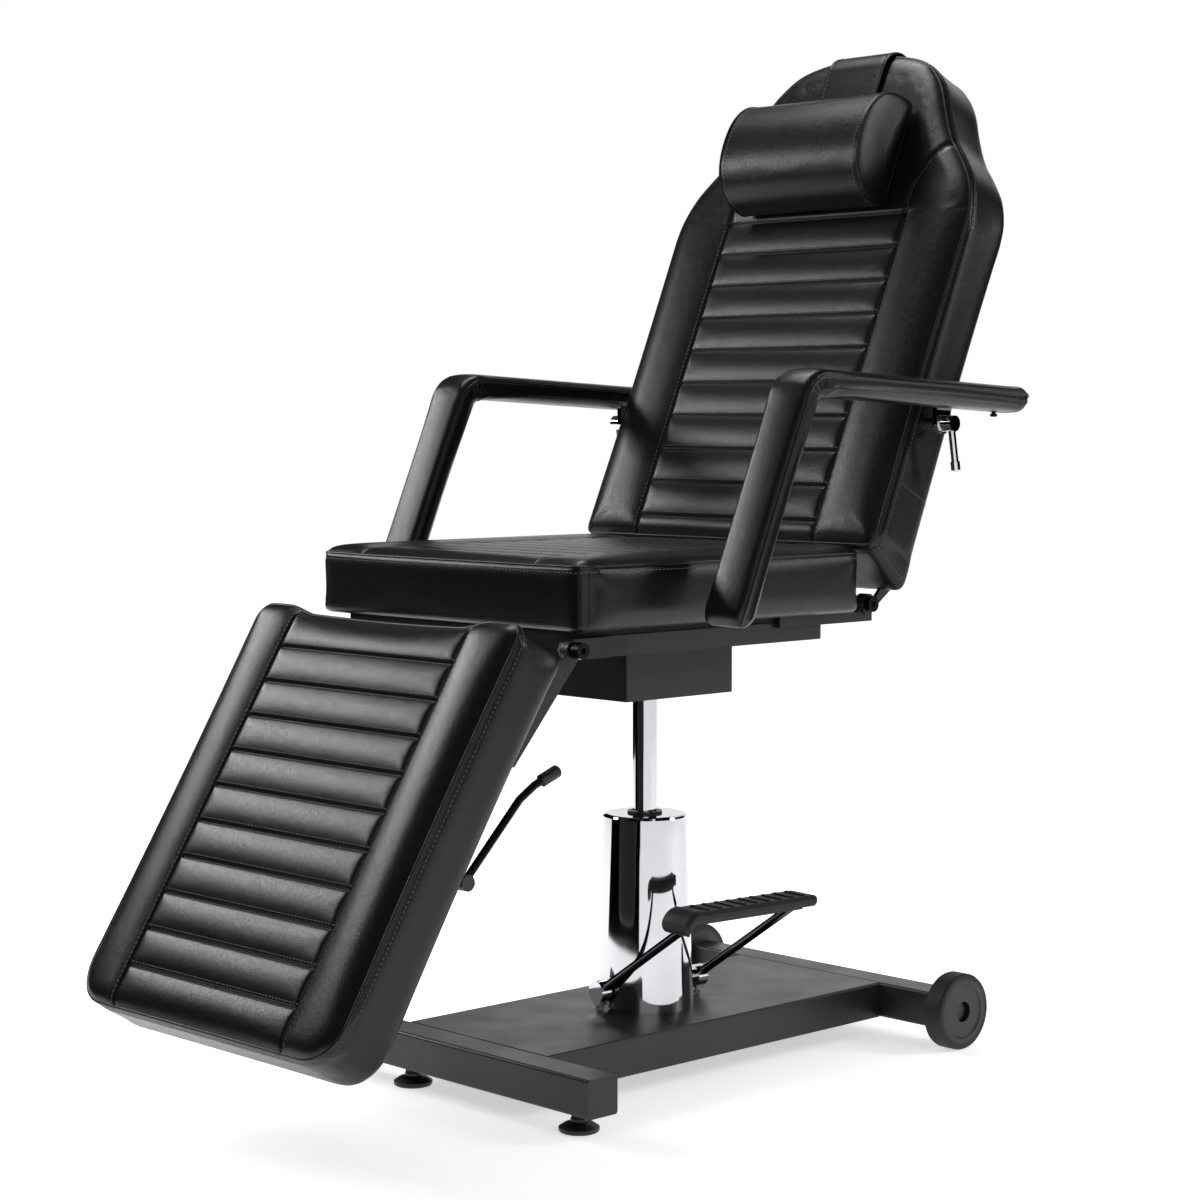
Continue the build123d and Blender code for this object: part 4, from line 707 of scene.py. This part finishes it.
def armPath():
    # stations of (place, heading, how full the section is there) along the bent middle line
    foot, corner, end = (np.array(arm[k]) for k in ("foot", "corner", "end"))
    post = (corner - foot) / np.linalg.norm(corner - foot)
    pad = (end - corner) / np.linalg.norm(end - corner)
    turn = math.acos(float(post @ pad))
    back = arm["bend"] * math.tan(turn / 2)
    first = corner - post * back
    left = np.array([-post[1], post[0]])
    centre = first - left * arm["bend"]
    half = arm["halfThick"]
    stations = []
    for t in np.radians(np.linspace(8, 90, 9))[:-1]:
        stations.append((foot - post * half * math.cos(t), post, math.sin(t)))
    length = np.linalg.norm(first - foot)
    spacing = arm["step"]
    stations += [(foot + post * d, post, 1.0) for d in np.linspace(0, length, round(length / spacing))]
    for a in np.linspace(0, turn, 14)[1:-1]:
        heading = post * math.cos(a) + np.array([post[1], -post[0]]) * math.sin(a)
        spot = centre + np.array([-heading[1], heading[0]]) * arm["bend"]
        stations.append((spot, heading, 1.0))
    second = corner + pad * back
    length = np.linalg.norm(end - second)
    stations += [(second + pad * d, pad, 1.0) for d in np.linspace(0, length, round(length / spacing))]
    for t in np.radians(np.linspace(90, 8, 9))[1:]:
        stations.append((end + pad * half * math.cos(t), pad, math.sin(t)))
    return stations, corner


def armSection():
    # points (across, out) round the padded bar, and the number of the seam on one side
    wide = arm["halfWide"]
    thick = arm["halfThick"]
    r = arm["round"]
    top = r * 0.7
    seam = thick - arm["seamDown"]
    quarter = np.radians(np.linspace(0, 90, 6))
    below = [(x, -thick) for x in np.linspace(0, wide - r, 4)[1:-1]]
    under = [(wide - r * (1 - math.cos(a)), -thick + r * (1 - math.sin(a))) for a in quarter[::-1]]
    right = [(wide, y) for y in np.linspace(-thick + r, seam - 2.4, 5)[1:]]
    sewn = [(wide - 0.5, seam - 1.2), (wide - 1.4, seam), (wide - 0.5, seam + 1.0)]
    corner = [(wide - top * (1 - math.cos(a)), thick - top * (1 - math.sin(a))) for a in quarter[1:]]
    corner = [c for c in corner if c[1] > seam + 1.6]
    over = [(x, thick) for x in np.linspace(wide - top, 0, 5)[1:-1]]
    half = below + under + right + sewn + corner + over
    ring = np.array([(0, -thick)] + half + [(0, thick)] + [(-x, y) for x, y in half[::-1]])
    broad = np.abs(ring[:, 1]) > seam + 1.1
    ring[:, 1] -= arm["crown"] * (ring[:, 0] / wide) ** 2 * np.sign(ring[:, 1]) * broad
    return ring, 1 + len(below) + len(under) + len(right) + 1


def buildArm(name, side):
    stations, corner = armPath()
    rings = []
    outline, seamAt = armSection()
    count = len(outline)
    for spot, heading, full in stations:
        section = outline * (1 - 0.27 * (1 - full), full)
        out = np.array([-heading[1], heading[0]])
        across = side * arm["middle"] + side * section[:, 0]
        rings.append(np.c_[across, spot[0] + out[0] * section[:, 1], spot[1] + out[1] * section[:, 1]] * mm)
    if side < 0:
        rings = [r[::-1] for r in rings]
        seams = (count - 1 - seamAt, seamAt - 1)
    else:
        seams = (seamAt, count - seamAt)
    cover = sweep(f"{name}ArmCover", rings)
    held = np.zeros((len(rings), count), bool)
    held[:, seams] = True
    held[:2] = True
    held[-2:] = True
    inflate(cover, held.ravel(), arm["swell"], 3.0)
    subdivide(cover)
    points = coordsOf(cover.data)
    # the leather gathers into folds that fan out from the inside of the elbow
    inner = np.array([corner[0] + 14, corner[1] - 22]) * mm
    spot = points[:, 1:] - inner
    far = np.linalg.norm(spot, axis=1) / mm
    angle = np.arctan2(spot[:, 1], spot[:, 0])
    ripple = np.sin(angle * 15 + np.sin(angle * 7) * 0.8 + points[:, 0] * 45) * arm["ripple"]
    ripple *= np.exp(-((far - 14) / 15) ** 2) * smoothStep(angle, -0.4, 0.4) * smoothStep(angle, 3.2, 2.2)
    setCoords(cover.data, points + vertexNormals(cover.data) * ripple[:, None] * mm)
    body = f"{name}_armrest"
    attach(cover, body)
    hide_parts(f"{name}_armrest_cushion")
    grid = np.arange(len(rings) * count).reshape(len(rings), count)
    sewn = []
    for number, s in enumerate(seams):
        line, normals = seamLine(cover, grid[2:-2, s])
        piping(f"{name}ArmPiping{number}", line, normals, arm["piping"], body, closed=False)
        below = s - 2 * side if number == 0 else s + 2 * side
        sewn.append(seamLine(cover, grid[3:-3, below], 0.1))
    stitches(f"{name}ArmStitches", sewn, body, **cushion["thread"])
    print("armrest", name, len(cover.data.vertices))


for armName, armSide in sides.items():
    buildArm(armName, armSide)

# Head pillow and its strap

pillow = {
    "halfLong": 134,
    "low": 499,                 # where it lies along the backrest
    "high": 665,
    "back": 8.8,                # its flat side in front of the backrest's seams
    "depth": 87,
    "edge": 14,                 # height of the flat rim before the round begins
    "corner": 8,
    "swell": 0.3,
    "piping": 1.8,
}


def pillowSection(share):
    # points (along the backrest, out of it) round a D, drawn towards its middle by a share
    low, high, back = pillow["low"], pillow["high"], pillow["back"]
    middle = (low + high) / 2
    wide = (high - low) / 2
    points = [(middle + x, back) for x in np.linspace(-wide + 8, wide - 8, 12)]
    points += [(high - 2, back + 2), (high, back + pillow["corner"])]
    rise = pillow["depth"] - pillow["edge"]
    for a in np.linspace(0, 180, 36):
        t = math.radians(a)
        reach = abs(math.cos(t)) ** 0.9 * math.copysign(1, math.cos(t))
        out = math.sin(t) ** 0.78 if 0 < a < 180 else 0
        points.append((middle + wide * reach, back + pillow["edge"] + rise * out))
    points += [(low, back + pillow["corner"]), (low + 2, back + 2)]
    points = np.array(points)
    centre = np.array([middle, back + pillow["depth"] * 0.42])
    return centre + (points - centre) * share


def buildPillow():
    # sections from end to end: how far beyond the half length, and the share of the full section
    half = pillow["halfLong"]
    ending = [(1.5, 0.08), (2.5, 0.35), (2.2, 0.62), (1.2, 0.84)]
    ending += [(-0.5, 0.955), (-2.0, 0.985), (-4.0, 1.0), (-9, 1.0)]
    levels = [(-half - beyond, share) for beyond, share in ending]
    levels += [(x, 0.995) for x in np.linspace(-half + 16, half - 16, 34)]
    levels += [(half + beyond, share) for beyond, share in ending[::-1]]
    rings = []
    for x, share in levels:
        section = pillowSection(share)
        rings.append(place(back["matrix"], np.c_[np.full(len(section), x), section]))
    cover = sweep("pillowCover", [r[::-1] for r in rings])
    count = len(rings[0])
    seamRings = (5, len(rings) - 6)
    held = np.zeros((len(rings), count), bool)
    held[[0, *seamRings, -1]] = True
    held[:, -14:] = True
    inflate(cover, held.ravel(), pillow["swell"])
    subdivide(cover)
    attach(cover, "pillow")
    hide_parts("head_pillow")
    grid = np.arange(len(rings) * count).reshape(len(rings), count)
    sewn = []
    for number, ring in enumerate(seamRings):
        line, normals = seamLine(cover, grid[ring])
        piping(f"pillowPiping{number}", line, normals, pillow["piping"], "pillow")
        line, normals = seamLine(cover, grid[ring + (2 if number == 0 else -2)], 0.1)
        sewn.append((np.r_[line, line[:1]], np.r_[normals, normals[:1]]))
    stitches("pillowStitches", sewn, "pillow", **cushion["thread"])
    print("pillow", len(cover.data.vertices))


buildPillow()


strap = {
    "half": 56,
    "front": 6.8,               # its place in front of the backrest
    "rear": -92.3,              # and behind it
    "top": 769,                 # over the head
    "bend": 31,                 # radius over the upper front edge
    "heel": 12,                 # radius over the upper rear edge
    "tail": 560,                # where both ends lie, along the backrest
}


def buildStrap():
    # a flat leather band over the head, folded and stitched along both edges
    half, front, rear, top = (strap[k] for k in ("half", "front", "rear", "top"))
    bend, heel, tail = (strap[k] for k in ("bend", "heel", "tail"))
    quarter = np.radians(np.linspace(0, 90, 12))
    path = [(tail, front), (610, front), (660, front), (700, front + 0.2), (top - bend, front - 0.2)]
    line = list(curveThrough(path, 6)[:-1])
    line += [(top - bend + bend * math.sin(a), front - bend + bend * math.cos(a)) for a in quarter]
    line += [(top, z) for z in np.linspace(front - bend, rear + heel, 8)[1:]]
    quarter = np.radians(np.linspace(0, 90, 6))[1:]
    line += [(top - heel * (1 - math.cos(a)), rear + heel - heel * math.sin(a)) for a in quarter]
    line += [(y, rear) for y in np.linspace(top - heel, tail, 26)[1:]]
    line = np.array(line)
    normals = -outward(line)
    edge = [(0.6, 0.0), (0, 1.2), (0.8, 2.5), (3.5, 2.7), (6, 2.2), (9, 2.6)]
    profile = [(-half + x, z) for x, z in edge]
    profile += [(x, 2.6) for x in np.linspace(-half + 15, half - 15, 12)]
    profile += [(half - x, z) for x, z in edge[::-1]]
    profile += [(x, 0.0) for x in np.linspace(half - 6, -half + 6, 6)]
    profile = np.array(profile)
    rings = []
    for p, n in zip(line, normals):
        spot = p[None] + n[None] * profile[:, 1:2]
        rings.append(place(back["matrix"], np.c_[profile[:, 0], spot]))
    cover = sweep("strapCover", rings)
    subdivide(cover)
    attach(cover, "pillow")
    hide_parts("pillow_strap")
    grid = np.arange(len(rings) * len(profile)).reshape(len(rings), len(profile))
    sewn = [seamLine(cover, grid[1:-1, k], 0.2) for k in (4, len(profile) - 6 - 5)]
    stitches("strapStitches", sewn, "pillow", **cushion["thread"])
    print("strap", len(cover.data.vertices))


buildStrap()


# Materials. Each is one network of nodes, in metres of the object's own space, so a pattern's scale
# is how many of its marks lie in a metre.

def srgb(text):
    values = [int(text[i : i + 2], 16) / 255 for i in (1, 3, 5)]
    linear = [v / 12.92 if v <= 0.04045 else ((v + 0.055) / 1.055) ** 2.4 for v in values]
    return (*linear, 1.0)


def addNode(tree, kind, settings=None, inputs=None):
    node = tree.nodes.new(kind)
    for key, value in (settings or {}).items():
        setattr(node, key, value)
    for key, value in (inputs or {}).items():
        if isinstance(value, bpy.types.NodeSocket):
            tree.links.new(value, node.inputs[key])
        else:
            node.inputs[key].default_value = value
    return node


def newMaterial(name, constants):
    material = bpy.data.materials.new(name)
    material.use_nodes = True
    shader = material.node_tree.nodes["Principled BSDF"]
    for key, value in constants.items():
        shader.inputs[key].default_value = value
    return material, material.node_tree, shader


def makeFinish(name, look):
    # patterns raise the surface, the coarsest first, and vary its colour and its sheen. A noise is
    # (marks to the metre, detail, roughness, how far and how strongly it raises the surface).
    material, tree, shader = newMaterial(name, look.get("constants", {}))
    coords = addNode(tree, "ShaderNodeTexCoord").outputs["Object"]
    fields = {}
    normal = None
    patterns = {}
    for key, (scale, detail, rough, raised) in look["noises"].items():
        inputs = {"Scale": scale, "Detail": detail, "Roughness": rough}
        patterns[key] = ("ShaderNodeTexNoise", {}, inputs, "Fac", raised)
    patterns |= look.get("figure", {})
    for key, (kind, settings, inputs, output, raised) in patterns.items():
        node = addNode(tree, kind, settings, {"Vector": coords, **inputs})
        fields[key] = node.outputs[output]
        if raised:
            links = {"Height": fields[key], "Distance": raised[0], "Strength": raised[1]}
            if normal is not None:
                links["Normal"] = normal
            normal = addNode(tree, "ShaderNodeBump", inputs=links).outputs["Normal"]
    tree.links.new(normal, shader.inputs["Normal"])
    dark, light = look["colours"]
    colours = {"Factor": fields[look["colourBy"]], 6: srgb(dark), 7: srgb(light)}
    mix = addNode(tree, "ShaderNodeMix", {"data_type": "RGBA"}, colours)
    tree.links.new(mix.outputs[2], shader.inputs["Base Color"])
    if "sheen" in look:
        low, high = look["sheen"]
        limits = {"From Min": 0.3, "From Max": 0.7, "To Min": low, "To Max": high}
        limits["Value"] = fields[look["sheenBy"]]
        sheen = addNode(tree, "ShaderNodeMapRange", inputs=limits)
        tree.links.new(sheen.outputs["Result"], shader.inputs["Roughness"])
    return material


# Upholstery leather, corrected grain: pebbles of 1.6 mm and creases of 5 mm break up a soft wet
# sheen, and slow waves of 45 mm show the foam behind it.
leather = {
    "colours": ("#0f0f0f", "#141415"),
    "colourBy": "patches",
    "sheen": (0.28, 0.39),
    "sheenBy": "creases",
    "constants": {"Specular IOR Level": 0.35},
    "noises": {
        "waves": (22.0, 2.0, 0.5, (0.0015, 0.3)),
        "creases": (190.0, 5.0, 0.62, (0.0006, 0.35)),
        "patches": (9.0, 3.0, 0.55, None),
    },
    "figure": {
        "pebbles": (
            "ShaderNodeTexVoronoi",
            {"feature": "DISTANCE_TO_EDGE"},
            {"Scale": 620.0},
            "Distance",
            (0.0004, 0.35),
        )
    },
}
# The piping is cut from the same hide and stretched, so it is a shade lighter and duller.
pipingLeather = {**leather, "colours": ("#141414", "#191919"), "sheen": (0.31, 0.42)}
# Mild steel, powder coated and baked: a satin black with a faint orange peel. Its real ripples of
# 0.5 mm are drawn 1.1 mm wide, because they would be too fine to show.
powderCoat = {
    "colours": ("#161617", "#1b1b1c"),
    "colourBy": "patches",
    "sheen": (0.36, 0.45),
    "sheenBy": "patches",
    "noises": {"peel": (900.0, 2.0, 0.55, (0.0003, 0.35)), "patches": (14.0, 4.0, 0.55, None)},
}
# Steel with bright chrome plating: a mirror, its reflections a little unsteady from polishing marks
# of 17 mm. The real scratches are far too fine to show.
chrome = {
    "colours": ("#c3c4c7", "#cecfd2"),
    "colourBy": "marks",
    "sheen": (0.04, 0.0625),
    "sheenBy": "marks",
    "constants": {"Metallic": 1.0},
    "noises": {"marks": (60.0, 4.0, 0.55, (0.00005, 0.2))},
}
# The pedal's rods are plated thinner, so they mirror the same things darker and softer.
smokedChrome = {**chrome, "colours": ("#55565a", "#66676b"), "sheen": (0.096, 0.15)}
# Turned steel, zinc plated: grey and half bright, mottled by its crystals. Those of 1 mm are drawn
# 4.5 mm wide, or they would be too fine to show.
zincSteel = {
    **chrome,
    "colours": ("#8d8e91", "#a2a3a6"),
    "sheen": (0.224, 0.35),
    "noises": {"marks": (220.0, 4.0, 0.55, (0.00005, 0.2))},
}
# Bolts and pins of the same steel, blackened in oil: dark, with a dull metal glint.
blackSteel = {**zincSteel, "colours": ("#1c1c1e", "#2a2a2c"), "sheen": (0.24, 0.375)}
# Moulded rubber: a dull black, for its mould was spark eroded. Those pits of 0.1 mm are drawn 0.7 mm
# wide, because they would be too fine to show.
rubber = {
    "colours": ("#141414", "#1b1b1b"),
    "colourBy": "patches",
    "sheen": (0.57, 0.67),
    "sheenBy": "patches",
    "noises": {"pits": (1400.0, 2.0, 0.55, (0.0003, 0.4)), "patches": (30.0, 3.0, 0.55, None)},
}
# Injection-moulded nylon: the same pits, with a satin sheen.
nylon = {**rubber, "colours": ("#151516", "#1b1b1c"), "sheen": (0.37, 0.47)}
# Twisted polyester thread, black in itself: its colour is painted grey, a painted sheen for the light its
# fibres catch more than the leather does.
thread = {**rubber, "colours": ("#4a4a4a", "#5c5c5c"), "sheen": (0.40, 0.50)}
# Woven backing cloth, stapled over the plywood: matt black, faintly ribbed. The real threads of
# 0.5 mm are drawn as ribs about 2 mm apart, because they would be too fine to show.
backingCloth = {
    "colours": ("#161616", "#1e1e1e"),
    "colourBy": "patches",
    "constants": {"Roughness": 0.85},
    "noises": {"patches": (40.0, 3.0, 0.55, None)},
    "figure": {
        "ribs": (
            "ShaderNodeTexWave",
            {"wave_type": "BANDS", "bands_direction": "DIAGONAL"},
            {"Scale": 260.0, "Distortion": 1.5, "Detail": 1.0},
            "Fac",
            (0.0004, 0.5),
        )
    },
}

finishes = {
    "black_leather": makeFinish("softBlackLeather", leather),
    "powder_coat": makeFinish("satinBlackPowderCoat", powderCoat),
    "chrome": makeFinish("polishedChrome", chrome),
    "steel": makeFinish("zincPlatedSteel", zincSteel),
    "rubber": makeFinish("blackRubber", rubber),
    "plastic": makeFinish("blackMouldedPlastic", nylon),
    "plywood": makeFinish("blackBackingCloth", backingCloth),
}
# black thread whose grey colour is a painted sheen
threadPaintedSheenFinish = makeFinish("blackThreadPaintedGreySheen", thread)
pipingFinish = makeFinish("pipingLeather", pipingLeather)
rodFinish = makeFinish("smokedChrome", smokedChrome)
boltFinish = makeFinish("blackenedSteel", blackSteel)

slots = {s["node"]: s["material_slot"] for s in frame["record"]["subparts"]}
blackened = ("pump_bolts", "backrest_hinge_pins", "leg_rest_hinge_pins", "left_foot_stud", "right_foot_stud")
blackened += ("left_armrest_screw", "right_armrest_screw", "release_lever")
ownFinishes = dict.fromkeys(blackened, boltFinish)
for node in ("pedal_plate", "wheel_axles", "left_wheel_hub", "right_wheel_hub"):
    ownFinishes[node] = finishes["plastic"]
ownFinishes["pedal_rods"] = rodFinish
for node, piece in frame["nodes"].items():
    for opening in piece.material_slots:
        opening.link = "OBJECT"
        opening.material = ownFinishes.get(node, finishes[slots[node]])
for piece in scene.objects:
    if piece.type != "MESH" or piece in frame["nodes"].values():
        continue
    if "titches" in piece.name:
        # the stitches get the black thread with its painted grey sheen
        piece.data.materials.append(threadPaintedSheenFinish)
    elif "iping" in piece.name:
        piece.data.materials.append(pipingFinish)
    else:
        piece.data.materials.append(finishes["black_leather"])
print("materials set")

# Camera, floor and light

view = {
    "place": (2.6216, -2.4705, 0.894),
    "turn": 46.4,
    "dip": 3.91,
    "lens": 80.09,
    "sensor": 36,
}
camera = link(bpy.data.objects.new("camera", bpy.data.cameras.new("camera")))
camera.location = view["place"]
camera.rotation_euler = (math.radians(90 - view["dip"]), 0, math.radians(view["turn"]))
camera.data.lens = view["lens"]
camera.data.sensor_width = view["sensor"]
camera.data.clip_end = 60
scene.camera = camera

lamps = {
    # name: place, target, size in metres, watts
    "leftBox": ((-2.5, -1.25, 1.95), (0, -0.1, 0.6), (2.1, 0.6), 42),
    "topBox": ((-0.9, 0.3, 3.3), (0, 0.1, 0.8), (1.6, 0.8), 40),
    "rightBox": ((2.3, 2.2, 2.1), (0, 0.2, 0.9), (0.5, 1.6), 30),
}
for name, (spot, target, size, power) in lamps.items():
    lamp = bpy.data.lights.new(name, "AREA")
    lamp.shape = "RECTANGLE"
    lamp.size, lamp.size_y = size
    lamp.energy = power
    piece = link(bpy.data.objects.new(name, lamp))
    piece.location = spot
    aim = Vector(target) - Vector(spot)
    piece.rotation_euler = aim.to_track_quat("-Z", "Y").to_euler()

room = {
    "floor": 9,                 # half its side
    "floorColour": "#f4f4f4",
    "floorGlow": 0.55,          # how white the floor is beyond the light that falls on it
    "worldLight": 0.5,
    # curved black panels beside the light, which only reflections see: radius, from and to in
    # degrees round the chair, from and to in height
    "flags": {
        "lowFlag": (1.2, (-55, -150), (0.0, 0.55)),
        "frontFlag": (3.3, (-55, -215), (0.0, 3.4)),
        "rearFlag": (3.3, (-10, 95), (0.38, 3.4)),
    },
    "ceiling": 3.4,             # half the side of a flat one above, and its height
}


def square(name, half, height):
    corners = [(-half, -half, height), (half, -half, height), (half, half, height), (-half, half, height)]
    piece = meshObject(name, corners, [(0, 1, 2, 3)])
    return piece


def curvedFlag(name, radius, turns, heights):
    angles = np.radians(np.linspace(*turns, 24))
    points = [(radius * math.cos(a), radius * math.sin(a), z) for z in heights for a in angles]
    count = len(angles)
    piece = meshObject(name, points, [(i, i + 1, count + i + 1, count + i) for i in range(count - 1)])
    return piece


def seenRays(tree):
    # 1 for what the camera, a reflection or a refraction sees, and 0 for the light on the object
    rays = addNode(tree, "ShaderNodeLightPath")
    seen = rays.outputs["Is Camera Ray"]
    for kind in ("Is Glossy Ray", "Is Transmission Ray"):
        inputs = {0: seen, 1: rays.outputs[kind]}
        seen = addNode(tree, "ShaderNodeMath", {"operation": "MAXIMUM"}, inputs).outputs[0]
    return seen


# Smooth white-painted studio floor: it keeps the soft shadow and goes white towards the camera.
floorPaint, tree, shader = newMaterial(
    "paleStudioFloor",
    {"Base Color": srgb(room["floorColour"]), "Roughness": 0.6, "Emission Color": (1, 1, 1, 1)},
)
glow = {0: seenRays(tree), 1: room["floorGlow"]}
lift = addNode(tree, "ShaderNodeMath", {"operation": "MULTIPLY"}, glow)
tree.links.new(lift.outputs[0], shader.inputs["Emission Strength"])
square("floor", room["floor"], 0).data.materials.append(floorPaint)

# Black velvet on the panels: it gives nothing back.
velvet = {"Base Color": srgb("#050505"), "Roughness": 1.0, "Specular IOR Level": 0.0}
flagCloth = newMaterial("blackFlagCloth", velvet)[0]
flags = [curvedFlag(name, *values) for name, values in room["flags"].items()]
flags.append(square("ceilingFlag", room["ceiling"], room["ceiling"]))
for piece in flags:
    piece.visible_camera = False
    piece.visible_diffuse = False
    piece.visible_shadow = False
    piece.data.materials.append(flagCloth)

world = bpy.data.worlds.new("studio")
world.use_nodes = True
scene.world = world
tree = world.node_tree
ground = tree.nodes["Background"]
ground.inputs["Color"].default_value = (1, 1, 1, 1)
ground.inputs["Strength"].default_value = room["worldLight"]
white = addNode(tree, "ShaderNodeBackground", inputs={"Color": (1, 1, 1, 1), "Strength": 1.0})
swap = addNode(
    tree, "ShaderNodeMixShader", inputs={0: seenRays(tree), 1: ground.outputs[0], 2: white.outputs[0]}
)
tree.links.new(swap.outputs[0], tree.nodes["World Output"].inputs["Surface"])
scene.view_settings.view_transform = "Standard"
print("light and camera set")
